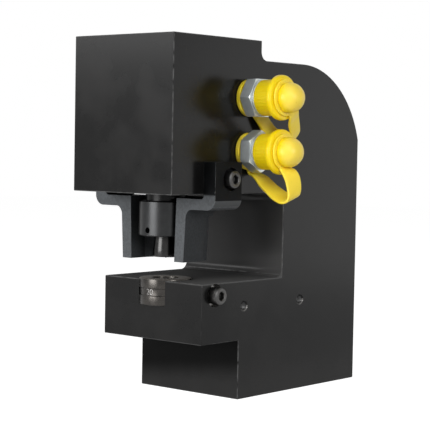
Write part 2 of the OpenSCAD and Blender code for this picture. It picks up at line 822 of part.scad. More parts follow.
// Dust cap: ribbed skirt over the nose, flange, neck for the strap and round knob
module dust_cap(z) {
    skirt_in = nose_r + cap_gap;
    knob_start = sqrt(knob_r * knob_r - pow(knob_x - cap_neck_end, 2));
    color([0.95, 0.85, 0.1]) at_port(z) difference() {
        union() {
            rotate_extrude() polygon([[0, cap_start], [cap_r - skirt_edge, cap_start],
                [cap_r, cap_start + skirt_edge], [cap_r, flange_start],
                [cap_flange_r - flange_edge, flange_start],
                [cap_flange_r, flange_start + flange_edge],
                [cap_flange_r, flange_end - flange_round],
                [cap_flange_r - flange_round, flange_end], [cap_neck_r, flange_end],
                [cap_neck_r, cap_neck_end], [0, cap_neck_end]]);
            intersection() {
                translate([0, 0, knob_x]) sphere(r = knob_r);
                translate([0, 0, cap_neck_end]) cylinder(r = 2 * knob_r, h = 3 * knob_r);
            }
        }
        translate([0, 0, cap_start - lap])
            cylinder(r = skirt_in, h = nose_end + cap_gap - cap_start + lap);
    }
}

// Middle lines of the two straps' loops, as [x, distance from the coupler's axis]. The lower strap
// hangs in a wide loop below its cap, and the upper one in a narrow loop behind the lower cap.
eyelet_middle = [flange_end + cap_gap + eyelet_t / 2, 12];
WIDE_LOOP = [[2, 12], [3.6, 15.6], [6.5, 18], [12, 19.6], [18, 22.8], [25, 27], [32, 31.4],
    [38, 34.4], [43, 34.8], [46.3, 32], [46.8, 27.5], [45, 21], [42.3, 15.8], [39, 12.8],
    eyelet_middle];
NARROW_LOOP = [[2, 12], [3.2, 16], [4, 22], [4.6, 29], [6.5, 35.5], [10.5, 39.8], [16, 41],
    [21, 38.6], [25, 33.4], [29, 28], [33, 22.8], [35.6, 18.6], [36.4, 15.5], eyelet_middle];
function loop_side(loop, i) =
    let (a = loop[max(i - 1, 0)], b = loop[min(i + 1, len(loop) - 1)], d = (b - a) / norm(b - a))
    [-d[1], d[0]] * strap_t / 2;

// Strap: a ring round the coupler's neck, a loop of flat band and an eyelet behind the cap's knob
module cap_strap(z, swing, loop) {
    eyelet_z = flange_end + cap_gap;
    color([0.95, 0.85, 0.1]) at_port(z) {
        ring(neck_r + cap_gap, ring_r, cap_gap, ring_t);
        ring(eyelet_hole_r, eyelet_r, eyelet_z, eyelet_t);
        rotate([0, 0, swing]) rotate([90, 0, 0]) linear_extrude(strap_w, center = true)
            polygon([for (i = [0 : len(loop) - 1]) let (p = loop[i] + loop_side(loop, i)) [p[1], p[0]],
                for (i = [len(loop) - 1 : -1 : 0]) let (p = loop[i] - loop_side(loop, i)) [p[1], p[0]]]);
    }
}

lower = port_h;
upper = port_h + port_pitch;

frame();
gland_nut();
gland_o_ring();
rod_seal();
rod_wiper();
piston_rod();
piston_seal();
piston_guide_ring();
punch_nut();
punch();
stripper();
stripper_screw(-1);  // stripper_screw_left
stripper_screw(1);  // stripper_screw_right
die();
die_lock_screw();
coupler_body(upper, 30);  // coupler_body_upper
spring_retainer(upper);  // spring_retainer_upper
valve_spring(upper);  // valve_spring_upper
poppet(upper);  // poppet_upper
poppet_seal(upper);  // poppet_seal_upper
dust_cap(upper);  // dust_cap_upper
cap_strap(upper, upper_swing, NARROW_LOOP);  // cap_strap_upper
coupler_body(lower, 0);  // coupler_body_lower
spring_retainer(lower);  // spring_retainer_lower
valve_spring(lower);  // valve_spring_lower
poppet(lower);  // poppet_lower
poppet_seal(lower);  // poppet_seal_lower
dust_cap(lower);  // dust_cap_lower
cap_strap(lower, 0, WIDE_LOOP);  // cap_strap_lower
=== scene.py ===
# %% [markdown]
# # A hydraulic punching head
#
# This machine punches round holes in plate and bar. Its body is one block of steel in the shape of a C,
# painted semi-gloss black. A ram in the head pushes a punch down through the work and into a die in the
# jaw, and a bracket round the punch strips the work off again. Two hose couplers under yellow vinyl
# caps stand out of the right side.
#
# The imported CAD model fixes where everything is, so this script only gives it its looks. Lengths are
# in metres, X points to the machine's right, Y to its back and Z up. Where a profile is written in
# millimetres, MM turns it into metres.

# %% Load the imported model
import json
import math

import bmesh
import bpy
import numpy as np
from mathutils import Matrix, Vector


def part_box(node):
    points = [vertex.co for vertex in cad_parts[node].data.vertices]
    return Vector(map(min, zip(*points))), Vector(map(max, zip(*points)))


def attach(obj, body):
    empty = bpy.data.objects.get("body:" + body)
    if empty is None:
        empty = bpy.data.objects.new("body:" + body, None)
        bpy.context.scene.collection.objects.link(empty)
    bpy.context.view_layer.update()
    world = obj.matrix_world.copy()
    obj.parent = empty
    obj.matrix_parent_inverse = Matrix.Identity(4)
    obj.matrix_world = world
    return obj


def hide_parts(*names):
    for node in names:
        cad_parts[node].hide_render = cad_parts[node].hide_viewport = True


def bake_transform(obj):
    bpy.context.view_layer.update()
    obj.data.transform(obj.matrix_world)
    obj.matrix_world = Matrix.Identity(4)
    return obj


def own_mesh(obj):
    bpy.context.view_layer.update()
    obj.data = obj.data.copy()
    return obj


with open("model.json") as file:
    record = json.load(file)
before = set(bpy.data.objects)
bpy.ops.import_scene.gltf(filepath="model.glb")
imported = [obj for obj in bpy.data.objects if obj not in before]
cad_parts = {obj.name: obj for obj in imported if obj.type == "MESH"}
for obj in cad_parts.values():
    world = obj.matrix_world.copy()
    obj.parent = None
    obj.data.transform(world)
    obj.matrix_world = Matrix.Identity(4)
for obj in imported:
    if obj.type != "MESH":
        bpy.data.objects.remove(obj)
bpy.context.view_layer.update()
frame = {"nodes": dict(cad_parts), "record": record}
nodes = frame["nodes"]

MM = 0.001
SIDES = ("upper", "lower")
body_of_node = {n: b for b, members in frame["record"]["behaviour"]["bodies"].items() for n in members}
slot_of_node = {s["node"]: s["material_slot"] for s in frame["record"]["subparts"]}


def middle(node):
    """The middle of a node's box."""
    low, high = (np.array(corner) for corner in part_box(node))
    return (low + high) / 2


def placed(name, data):
    """Puts a new object into the scene, for a mesh, a curve, a lamp or a camera."""
    new = bpy.data.objects.new(name, data)
    bpy.context.scene.collection.objects.link(new)
    return new


# %% [markdown]
# ## Camera
#
# A long lens from the front right, a little above the middle of the machine, gives nearly parallel
# edges, as catalogue pictures of machines have. The camera is turned by its yaw and pitch, and rolled
# by about one degree. These are worked out as rotations about Z, X and the camera's own axis, so that
# each number can be changed alone.

# %% Camera
CAMERA_PLACE = (0.7283, -0.9025, 0.1924)
CAMERA_YAW, CAMERA_PITCH, CAMERA_ROLL = 40.414, -2.822, 1.03
LENS = 119.1


def make_camera():
    camera = placed("camera", bpy.data.cameras.new("camera"))
    camera.data.lens = LENS
    camera.data.sensor_width = 36
    turn = (Matrix.Rotation(math.radians(CAMERA_YAW), 4, "Z")
            @ Matrix.Rotation(math.radians(90 + CAMERA_PITCH), 4, "X")
            @ Matrix.Rotation(math.radians(CAMERA_ROLL), 4, "Z"))
    camera.matrix_world = Matrix.Translation(CAMERA_PLACE) @ turn
    bpy.context.scene.camera = camera


make_camera()

# %% [markdown]
# ## Shader nodes
#
# Every finish is wired from nodes. Adding a node, setting its values and linking it takes three lines
# each time, so a small helper does that. Effects that more than one finish needs are node groups: they
# are built once, and each material puts in its own sizes.

# %% A helper for wiring nodes
class Wiring:
    """Adds shader nodes to a tree. A value that is a socket gets linked, and any other gets set."""

    def __init__(self, tree):
        self.tree = tree

    def put(self, socket, value):
        if isinstance(value, bpy.types.NodeSocket):
            self.tree.links.new(value, socket)
        else:
            socket.default_value = value

    def node(self, kind, settings=(), **values):
        new = self.tree.nodes.new("ShaderNode" + kind)
        for key, value in dict(settings).items():
            setattr(new, key, value)
        for key, value in values.items():
            self.put(new.inputs[key.replace("_", " ")], value)
        return new

    def math(self, operation, *values, clamp=False):
        new = self.node("Math", {"operation": operation, "use_clamp": clamp})
        for socket, value in zip(new.inputs, values):
            self.put(socket, value)
        return new.outputs[0]

    def spread(self, value, low, high, to_low=0.0, to_high=1.0):
        """Carries low..high over to to_low..to_high, with soft ends."""
        new = self.node("MapRange", {"interpolation_type": "SMOOTHSTEP"}, Value=value, From_Min=low,
                        From_Max=high, To_Min=to_low, To_Max=to_high)
        return new.outputs["Result"]

    def all_of(self, *masks):
        """A mask that is 1 only where each of the masks is 1: their product."""
        product = masks[0]
        for mask in masks[1:]:
            product = self.math("MULTIPLY", product, mask)
        return product

    def blend(self, mask, a, b):
        """Colour a where the mask is 0, and colour b where it is 1."""
        new = self.node("Mix", {"data_type": "RGBA"})
        for index, value in ((0, mask), (6, a), (7, b)):
            self.put(new.inputs[index], value)
        return new.outputs[2]

    def group(self, tree, **values):
        return self.node("Group", {"node_tree": tree}, **values).outputs


def new_group(name, inputs, outputs):
    """An empty node group with float inputs, given as name: default, and float outputs."""
    tree = bpy.data.node_groups.new(name, "ShaderNodeTree")
    for label, value in inputs.items():
        socket = tree.interface.new_socket(label, in_out="INPUT", socket_type="NodeSocketFloat")
        socket.default_value = value
    for label in outputs:
        tree.interface.new_socket(label, in_out="OUTPUT", socket_type="NodeSocketFloat")
    wire = Wiring(tree)
    start, end = tree.nodes.new("NodeGroupInput"), tree.nodes.new("NodeGroupOutput")
    return tree, wire, start.outputs, end.inputs


# %% [markdown]
# Three effects are shared. *Grain* is a cloud of lumps of one size in the object's own coordinates, for
# the skin of paint, castings and vinyl. *Tooling* is the fine rings that a lathe leaves: a random value
# that changes only along the profile. *Wear* takes the edge value that the meshes carry and breaks it
# up with grain, so that a rubbed edge isn't an even line.

# %% Shared effects
def make_grain():
    sizes = {"Size": 0.001, "Low": 0.35, "High": 0.65}
    tree, wire, given, out = new_group("grain", sizes, ("Height", "Speck"))
    place = wire.node("TexCoord").outputs["Object"]
    scale = wire.math("DIVIDE", 1.0, given["Size"])
    noise = wire.node("TexNoise", Vector=place, Scale=scale, Detail=3.0, Roughness=0.55).outputs["Fac"]
    wire.put(out["Height"], noise)
    wire.put(out["Speck"], wire.spread(noise, given["Low"], given["High"]))
    return tree


def make_tooling():
    tree, wire, given, out = new_group("tooling", {"Along": 0.0, "Pitch": 0.0003}, ("Height", "Streak"))
    turns = wire.math("DIVIDE", given["Along"], given["Pitch"])
    noise = wire.node("TexNoise", {"noise_dimensions": "1D"}, W=turns, Scale=1.0, Detail=2.0).outputs["Fac"]
    wire.put(out["Height"], noise)
    wire.put(out["Streak"], wire.spread(noise, 0.3, 0.7))
    return tree


def make_wear(grain):
    tree, wire, given, out = new_group("wear", {"Edge": 0.0, "Size": 0.004, "Amount": 1.0}, ("Mask",))
    patches = wire.group(grain, Size=given["Size"], Low=0.3, High=0.6)["Speck"]
    edge_wear_and_highlight = wire.math("MULTIPLY", given["Edge"], patches)
    wire.put(out["Mask"], wire.math("MULTIPLY", edge_wear_and_highlight, given["Amount"], clamp=True))
    return tree


GRAIN = make_grain()
TOOLING = make_tooling()
WEAR = make_wear(GRAIN)
print("node groups", [g.name for g in bpy.data.node_groups])

# %% Starting a finish
finishes = {}


def new_finish(name, roughness, metallic=0.0, specular=0.5, **constants):
    """A material with its plain values on the shader's own sockets, and the wiring for the rest."""
    material = bpy.data.materials.new(name)
    material.use_nodes = True
    shader = material.node_tree.nodes["Principled BSDF"]
    shader.inputs["Roughness"].default_value = roughness
    shader.inputs["Metallic"].default_value = metallic
    shader.inputs["Specular IOR Level"].default_value = specular
    for key, value in constants.items():
        shader.inputs[key.replace("_", " ")].default_value = value
    finishes[name] = material
    return Wiring(material.node_tree), shader.inputs


def grey(value, warmth=0.0):
    """A grey in linear light. Warmth moves red up and blue down."""
    return (value * (1 + warmth), value, value * (1 - warmth), 1)


def attribute(wire, name):
    return wire.node("Attribute", {"attribute_name": name}).outputs["Fac"]


def object_place(wire):
    """X, Y and Z of the point in the object's own coordinates, by their names."""
    return wire.node("SeparateXYZ", Vector=wire.node("TexCoord").outputs["Object"]).outputs


def above_one(wire, value):
    """How far a value lies from 1 to 2. The meshes mark a few special faces with a 2."""
    return wire.spread(value, 1.0, 2.0)


# %% [markdown]
# ## Floor, world and lamps
#
# A black machine is drawn by what it mirrors, so the lamps matter more than the paint. Soft boxes make
# wide, even mirror images, where a point lamp would leave one hot spot. A low one in front, a little to
# the left, lights the bracket and draws the bright stripes on the nut, the punch and the die. A wider
# one above it, further left, lies in the mirror direction of the head's front, so that face fades from
# grey at the top to darker at the base. A high one at the front right lights the tops, one behind the
# machine does the same for its right side, and a small bright one at the right lights the vinyl caps.
#
# The world is white for the rays that look at it or mirror it, and dim for those that light the
# machine. So the backdrop is pure white, and the lamps still give the dark paint its shape.

# %% Floor, world and lamps
WHITE_RAYS = ("Is Camera Ray", "Is Glossy Ray", "Is Transmission Ray")


def white_ray_mask(wire):
    """1 for the rays that see the background, straight or mirrored, and 0 for those that light things."""
    rays = wire.node("LightPath").outputs
    mask = rays[WHITE_RAYS[0]]
    for name in WHITE_RAYS[1:]:
        mask = wire.math("MAXIMUM", mask, rays[name])
    return mask


def make_world(light):
    world = bpy.data.worlds.new("studio")
    bpy.context.scene.world = world
    world.use_nodes = True
    wire = Wiring(world.node_tree)
    background = world.node_tree.nodes["Background"].inputs
    background["Color"].default_value = grey(1)
    strength = wire.node("MapRange", Value=white_ray_mask(wire), To_Min=light, To_Max=1.0)
    wire.put(background["Strength"], strength.outputs["Result"])


FLOOR_GAP = 0.2 * MM


def make_floor(size, colour, lift):
    """A pale diffuse floor, just below the base. The lift is light that only the masked rays see, so
    it shows white and keeps the machine's shadow."""
    half = size / 2
    mesh = bpy.data.meshes.new("floor")
    mesh.from_pydata([(-half, -half, 0), (half, -half, 0), (half, half, 0), (-half, half, 0)], [],
                     [(0, 1, 2, 3)])
    floor = placed("floor", mesh)
    floor.location.z = -FLOOR_GAP
    wire, shader = new_finish("floor", 0.9, specular=0.0, Base_Color=grey(colour), Emission_Color=grey(1))
    wire.put(shader["Emission Strength"], wire.math("MULTIPLY", white_ray_mask(wire), lift))
    mesh.materials.append(finishes["floor"])


def soft_box(name, place, target, size, radiance):
    """A rectangular lamp whose face has the given brightness, aimed from place at target."""
    lamp = bpy.data.lights.new(name, "AREA")
    lamp.shape = "RECTANGLE"
    lamp.size, lamp.size_y = size
    lamp.energy = radiance * math.pi * size[0] * size[1]
    holder = placed(name, lamp)
    holder.location = place
    holder.rotation_euler = (Vector(target) - Vector(place)).to_track_quat("-Z", "Y").to_euler()


make_world(light=0.06)
make_floor(size=6.0, colour=0.5, lift=0.96)
soft_box("front", (-0.28, -1.16, 0.22), (0, -0.12, 0.13), (0.58, 0.36), 12.0)
soft_box("front_left", (-0.55, -1.06, 0.5), (0, -0.12, 0.15), (0.9, 0.36), 5.2)
soft_box("front_right", (0.7, -0.9, 0.85), (0, -0.1, 0.2), (0.8, 0.8), 3.0)
soft_box("back_right", (0.63, 0.72, 0.2), (0.05, 0.03, 0.2), (0.4, 0.4), 1.08)
soft_box("right", (1.0, -0.35, 0.35), (0.05, -0.07, 0.2), (0.3, 0.3), 13.0)

bpy.context.scene.view_settings.view_transform = "Standard"

# %% [markdown]
# ## Paint, castings and bare steel
#
# The frame's paint is nearly black, smooth and semi-gloss, with the faint orange peel of a spray gun.
# Seen along the surface it turns dull, because a sprayed skin scatters light at low angles, so a Layer
# Weight raises its roughness there. On the chamfers the paint is thin and lets some grey through, which
# also paints the highlights that the edges catch, though less at the front of the jaw, and the throat's
# back edge on the right is painted brighter still, as a painted highlight. Dust greys the throat, which is
# painted lighter towards the right as painted light. The foot of the block is painted lighter, painted
# light from the floor, and the strip below the jaw is painted shade: darker and duller than the rest. A
# painted image could hold such places, but masks made of the coordinates need no unwrapping and stay
# sharp at any size.
#
# The bracket is a painted casting whose front faces were milled and left grey. Above the head's underside
# the fronts are painted dark instead, a painted shadow of the head, and the rounded corners below the
# arms are painted lighter, painted light from the floor. Its mesh carries how bare each face is and how
# worn each edge is, with the ears' front edges painted bright as highlights, and the finish reads both.

# %% Painted finishes
def bump(wire, shader, height, distance, strength=1.0):
    new = wire.node("Bump", Height=height, Distance=distance, Strength=strength)
    wire.put(shader["Normal"], new.outputs["Normal"])


# Where the frame's finish changes: the jaw's levels, the head's underside, and three depths
JAW_UNDER, JAW_TOP, HEAD_UNDER = 45 * MM, 90 * MM, 156 * MM
JAW_FRONT, BASE_FRONT, THROAT_BACK = -119 * MM, -76 * MM, -24 * MM
# Below this height the frame is painted lighter towards its foot: painted light from the floor
FOOT_PAINTED_LIGHT = 30 * MM
# How much of the edge wear and painted edge highlight stays at the front of the jaw
JAW_EDGE_WEAR_AND_HIGHLIGHT = 0.22


def make_black_paint():
    wire, shader = new_finish("black_paint", 0.25, specular=0.13)
    peel = wire.group(GRAIN, Size=0.0014, Low=0.3, High=0.7)
    haze = wire.group(GRAIN, Size=0.035)["Speck"]
    dust = wire.group(GRAIN, Size=0.0006, Low=0.68, High=0.78)["Speck"]
    edge, bare = attribute(wire, "edge"), attribute(wire, "bare")
    place = object_place(wire)
    depth, height = place["Y"], place["Z"]
    throat = wire.all_of(wire.spread(height, JAW_TOP - 1.4 * MM, JAW_TOP - 0.2 * MM),
                         wire.spread(height, HEAD_UNDER + 0.5 * MM, HEAD_UNDER - 0.5 * MM),
                         wire.spread(depth, THROAT_BACK + 0.8 * MM, THROAT_BACK + 0.3 * MM))
    # The painted shade under the jaw reaches lower on the left, so its fade follows the height less a tenth
    # of X
    level = wire.math("MULTIPLY_ADD", place["X"], -0.1, height)
    painted_jaw_shade = wire.all_of(wire.spread(depth, BASE_FRONT + 0.6 * MM, BASE_FRONT + 0.3 * MM),
                            wire.spread(height, JAW_UNDER - 0.2 * MM, JAW_UNDER - 0.6 * MM),
                            wire.spread(level, 7 * MM, 26 * MM))
    jaw_front = wire.all_of(wire.spread(depth, JAW_FRONT + 19 * MM, JAW_FRONT + 9 * MM),
                            wire.spread(height, JAW_TOP - 1.5 * MM, JAW_TOP - 2.5 * MM))

    film = wire.blend(haze, grey(0.0045), grey(0.0075, 0.02))
    # Painted light: lighter towards the foot, as if lit from the floor
    film = wire.blend(wire.spread(height, FOOT_PAINTED_LIGHT, 0.0, 0, 0.3), film, grey(0.03, 0.02))
    # Dust in the throat, painted lighter towards the right side: painted light
    throat_dust_and_painted_light = wire.blend(wire.spread(place["X"], 0.0, 50 * MM), grey(0.018, 0.01), grey(0.06, 0.01))
    film = wire.blend(throat, film, throat_dust_and_painted_light)
    # Painted shade below the jaw: a darker colour here, and below it a metallic, rougher skin that dims its
    # reflection
    film = wire.blend(painted_jaw_shade, film, grey(0.0036))
    film = wire.blend(wire.math("MULTIPLY", dust, 0.25), film, grey(0.06, 0.03))
    # Worn paint on the chamfers, which also paints the highlights that the edges catch, less at the front
    # of the jaw
    worn = wire.group(WEAR, Edge=edge, Size=0.006, Amount=0.75)["Mask"]
    worn = wire.math("MULTIPLY", worn, wire.spread(jaw_front, 0, 1, 1, JAW_EDGE_WEAR_AND_HIGHLIGHT))
    # Chamfer wear colour, and edges marked 2 painted bright: a painted highlight
    edge_wear_and_highlight = wire.blend(above_one(wire, edge), grey(0.095), grey(0.7))
    wire.put(shader["Base Color"], wire.blend(bare, wire.blend(worn, film, edge_wear_and_highlight), grey(0.11, 0.03)))
    wire.put(shader["Metallic"], wire.math("MAXIMUM", bare, painted_jaw_shade))
    grazing = wire.node("LayerWeight", Blend=0.5).outputs["Facing"]
    gloss = wire.math("MULTIPLY_ADD", painted_jaw_shade, 0.2, wire.spread(grazing, 0.45, 0.85, 0.2, 0.95))
    wire.put(shader["Roughness"], wire.math("MULTIPLY_ADD", haze, 0.05, gloss))
    bump(wire, shader, peel["Height"], 0.000012)


def make_grey_casting():
    wire, shader = new_finish("grey_casting", 0.5, specular=0.04)
    lumps = wire.group(GRAIN, Size=0.0016)
    patches = wire.group(GRAIN, Size=0.012)["Speck"]
    edge, share = attribute(wire, "edge"), attribute(wire, "bare")
    # Painted shadow: above the head's underside the milled fronts keep the dark paint, as if shaded by the
    # head
    out_of_painted_head_shadow = wire.spread(object_place(wire)["Z"], HEAD_UNDER + 0.5 * MM, HEAD_UNDER - 1.5 * MM)
    milled = wire.all_of(wire.math("MINIMUM", share, 1.0), out_of_painted_head_shadow)
    paint = wire.blend(patches, grey(0.004, -0.06), grey(0.007, -0.08))
    bare = wire.blend(lumps["Speck"], grey(0.075, -0.05), grey(0.095, -0.06))
    # Faces marked 2, the corners below the arms, are painted lighter: painted light from the floor
    bare = wire.blend(above_one(wire, share), bare, grey(0.08, -0.04))
    worn = wire.group(WEAR, Edge=edge, Size=0.003, Amount=1.0)["Mask"]
    # Edge wear colour, and edges marked 2 painted bright: a painted highlight
    edge_wear_and_highlight = wire.blend(above_one(wire, edge), grey(0.14, -0.04), grey(0.5, -0.04))
    wire.put(shader["Base Color"], wire.blend(worn, wire.blend(milled, paint, bare), edge_wear_and_highlight))
    wire.put(shader["Roughness"], wire.spread(patches, 0, 1, 0.42, 0.55))
    bump(wire, shader, lumps["Height"], 0.00008, 0.5)


make_black_paint()
make_grey_casting()


# %% [markdown]
# Bare and blackened steels are metals, so their colour is a mirror colour. Most of them were turned or
# ground, so they share one recipe: a base colour, a second one for the streaks that the tool leaves,
# and a fine bump. They differ in colour, gloss and in how far apart the rings lie. The die's top is
# stained by oil and slugs, so at the level of its face the same recipe turns dull and brownish.

# %% Steels
DIE_LOW, DIE_HIGH = (corner[2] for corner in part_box("die"))


def turned_steel(name, colour, streak, roughness, pitch=0.3 * MM, depth=0.006 * MM, metallic=1.0,
                 edge_colour=None, along="profile", face=None):
    """Rings lie a pitch apart along the mesh's own profile, or along an axis. Face is the level of a
    dull top."""
    wire, shader = new_finish(name, roughness, metallic)
    distance = attribute(wire, "profile") if along == "profile" else object_place(wire)[along]
    rings = wire.group(TOOLING, Along=distance, Pitch=pitch)
    stains = wire.group(GRAIN, Size=0.004)["Speck"]
    mix = wire.math("MULTIPLY", wire.math("ADD", rings["Streak"], stains), 0.5)
    surface = wire.blend(mix, colour, streak)
    if edge_colour:
        worn = wire.group(WEAR, Edge=attribute(wire, "edge"), Size=0.003, Amount=0.8)["Mask"]
        surface = wire.blend(worn, surface, edge_colour)
    if face:
        dull = wire.spread(object_place(wire)["Z"], face - 0.4 * MM, face - 0.1 * MM)
        wire.put(shader["Metallic"], wire.spread(dull, 0, 1, metallic, 0.1))
        surface = wire.blend(dull, surface, grey(0.05, 0.15))
        roughness = wire.spread(dull, 0, 1, roughness, 0.75)
    wire.put(shader["Base Color"], surface)
    wire.put(shader["Roughness"], wire.math("MULTIPLY_ADD", stains, 0.05, roughness))
    bump(wire, shader, rings["Height"], depth)


turned_steel("nut_steel", grey(0.027, -0.02), grey(0.031, -0.02), 0.29, pitch=0.4 * MM,
             depth=0.001 * MM, edge_colour=grey(0.2), along="Z")
turned_steel("tool_steel", grey(0.024), grey(0.032, 0.02), 0.2)
turned_steel("die_steel", grey(0.036, 0.06), grey(0.048, 0.08), 0.24, pitch=0.5 * MM,
             depth=0.003 * MM, edge_colour=grey(0.2, 0.03), face=DIE_HIGH)
turned_steel("dark_steel", grey(0.022), grey(0.034), 0.35, pitch=0.5 * MM, along="Z")
turned_steel("nitrided_steel", grey(0.01), grey(0.015), 0.3, pitch=0.2 * MM, along="Z")
turned_steel("black_oxide", grey(0.055), grey(0.08, 0.03), 0.35, edge_colour=grey(0.25))
turned_steel("spring_steel", grey(0.45), grey(0.55), 0.3, along="X")
turned_steel("zinc_plate", (0.55, 0.59, 0.6, 1), (0.65, 0.69, 0.69, 1), 0.36, metallic=0.7,
             edge_colour=(0.55, 0.56, 0.54, 1))
turned_steel("etched_steel", grey(0.13, 0.03), grey(0.18, 0.03), 0.4)
turned_steel("tapped_steel", grey(0.06), grey(0.12), 0.35)


# %% [markdown]
# The caps and straps are moulded in soft vinyl: a strong yellow with a waxy gloss, a little light
# passing below the skin, and dirt in the fine grain. The balls are painted paler towards their tips, a
# painted highlight, and the straps are painted a paler yellow, a painted sheen and painted light. A plain
# colour would look like hard plastic, so a little subsurface scattering is added.
# The seals are plain rubber, and the piston's guide ring is a filled plastic.

# %% Vinyl, rubber and plastic
# Where along X the balls are painted paler towards their tips: a painted highlight
BALL_HIGHLIGHT_SPAN = (88 * MM, 96 * MM)


def make_vinyl(name, dark, light, tip_highlight):
    """Dark and light are the colours of its patches, and the last colour is a painted highlight, paler
    towards the balls' tips along X.
    """
    wire, shader = new_finish(name, 0.33, specular=0.28, Subsurface_Weight=0.12, Subsurface_Scale=0.002)
    shader["Subsurface Radius"].default_value = (1.0, 0.6, 0.1)
    patches = wire.group(GRAIN, Size=0.011, Low=0.3, High=0.7)["Speck"]
    skin = wire.group(GRAIN, Size=0.0012, Low=0.3, High=0.7)
    dirt = wire.group(GRAIN, Size=0.0024, Low=0.64, High=0.78)["Speck"]
    # Painted highlight: paler towards the balls' tips
    tip = wire.spread(object_place(wire)["X"], *BALL_HIGHLIGHT_SPAN)
    yellow = wire.blend(tip, wire.blend(patches, dark, light), tip_highlight)
    yellow = wire.blend(wire.math("MULTIPLY", dirt, 0.3), yellow, (0.62, 0.36, 0.01, 1))
    wire.put(shader["Base Color"], yellow)
    wire.put(shader["Roughness"], wire.spread(patches, 0, 1, 0.3, 0.4))
    bump(wire, shader, skin["Height"], 0.00002)


def make_soft(name, colour, roughness):
    wire, shader = new_finish(name, roughness, specular=0.35)
    speck = wire.group(GRAIN, Size=0.0015)
    wire.put(shader["Base Color"], wire.blend(speck["Speck"], colour, [c * 0.7 for c in colour[:3]] + [1]))
    bump(wire, shader, speck["Height"], 0.00002)


make_vinyl("yellow_vinyl", (0.9, 0.65, 0.004, 1), (0.93, 0.71, 0.008, 1), (0.93, 0.7, 0.08, 1))
# The straps' paler yellow is a painted sheen, and painted light that lifts them out of their shade
make_vinyl("pale_vinyl", (0.92, 0.68, 0.03, 1), (0.95, 0.74, 0.06, 1), (0.93, 0.7, 0.06, 1))
make_soft("seal_rubber", grey(0.02), 0.6)
make_soft("guide_band", (0.16, 0.07, 0.03, 1), 0.5)
print("finishes", sorted(finishes))

for name, o in nodes.items():
    o.data.materials.clear()
    o.data.materials.append(finishes[slot_of_node[name]])


# %% [markdown]
# ## Blocks with broken edges
#
# The frame, the bracket and the nuts keep their exact CAD shape, but no real edge is perfectly sharp:
# each one is broken with a file, and the narrow round that this leaves catches the light. A copy of the
# node's mesh is merged, its flat faces are joined again, and bmesh rounds each edge that turns by more
# than a given angle. A Bevel modifier would round them too, but it can't say which faces are new. Here
# they carry an edge value of 1, which the wear group reads, or 2 where an edge is worn and painted bright
# as a highlight.

# %% Round the edges of a copy
def shade(mesh, angle=35):
    mesh.shade_smooth()
    mesh.set_sharp_from_angle(angle=math.radians(angle))


def dress(piece, body, slot_name, *replaced, finish=None):
    """Gives a piece its finish, which is the slot's unless another is named, fixes it to its body, and
    hides the CAD nodes that it stands in for.
    """
    piece.data.materials.clear()
    piece.data.materials.append(finishes[finish or slot_name])
    if body:
        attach(piece, body)
    if replaced:
        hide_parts(*replaced)
    print(f"{piece.name}: {len(piece.data.vertices)} points, {len(piece.data.polygons)} faces")


SIDE_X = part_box("frame")[1][0]
side_mount = next(m for m in frame["record"]["mounts"] if m["name"] == "side_holes")
SINK_END = np.array(side_mount["pos_m"])
HALF_PITCH = side_mount["dims"]["spacing_x_mm"] * MM / 2

# Holes in the frame's right side, as (y, z, reach, whether only the part below the axis is bare).
# Baring only the lower half paints the light that falls into the hole from above.
HOLE_DEPTH = 3.6 * MM
SIDE_HOLES = [(*middle("die_lock_screw")[1:], 9.2 * MM, False)]
SIDE_HOLES += [(SINK_END[1] + shift, SINK_END[2], 4.4 * MM, True) for shift in (-HALF_PITCH, HALF_PITCH)]
BORE_AXIS = middle("punch")[:2]
BORE_REACH = 22.6 * MM
bracket_low, bracket_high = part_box("stripper")
ARM_LOW = bracket_low[2] + 39 * MM
EAR_FRONT, EAR_SIDE = bracket_low[1] + 0.6 * MM, bracket_high[0] - 0.6 * MM
LEG_BARE = 0.4


def bare_share(face, node):
    """How much paint a machined face lost. On the frame: all of it in the lock screw's pocket, and in the
    tapped holes only below their axes, which paints the light that falls in from above. On the bracket:
    all on the front and in the bore, and some on the legs. The rounded corners below the arms return 2:
    they are painted lighter than the paint, painted light from the floor, though darker than milled faces."""
    centre, normal = face.calc_center_median(), face.normal
    if node == "frame":
        inside = SIDE_X - HOLE_DEPTH < centre.x < SIDE_X - 0.1 * MM
        return float(inside and any(math.dist((centre.y, centre.z), (y, z)) < reach
                                    and not (painted_lit_lower_half and centre.z >= z)
                                    for y, z, reach, painted_lit_lower_half in SIDE_HOLES))
    if node != "stripper":
        return 0.0
    in_bore = math.dist((centre.x, centre.y), BORE_AXIS) < BORE_REACH and abs(normal.z) < 0.5
    if normal.y < -0.99 or in_bore:
        return 1.0
    if centre.z <= ARM_LOW:
        return LEG_BARE
    # Painted light: the rounded corners below the arms face the floor and return 2, to be painted lighter
    return 2.0 if normal.z < -0.1 and abs(normal.x) > 0.1 and abs(normal.y) < 0.05 else 0.0


def is_chamfer(face):
    """1 for a face that slopes at 45 degrees, which on these blocks only chamfers do."""
    slopes = sorted(abs(v) for v in face.normal)
    return float(slopes[0] < 0.01 and abs(slopes[1] - slopes[2]) < 0.012)


def is_painted_highlight_edge(face, node):
    """Whether an edge is painted bright as a highlight, as well as worn through: the ears' front
    edges, and the throat's back edge on the right.
    """
    centre = face.calc_center_median()
    upright = abs(face.normal.z) < 0.3
    if node == "stripper":
        return upright and centre.z > ARM_LOW and centre.y < EAR_FRONT and abs(centre.x) > EAR_SIDE
    in_throat = abs(centre.y - THROAT_BACK) < 2 * MM and JAW_TOP + 10 * MM < centre.z < HEAD_UNDER - MM
    return node == "frame" and upright and in_throat and centre.x > SIDE_X - 0.4 * MM


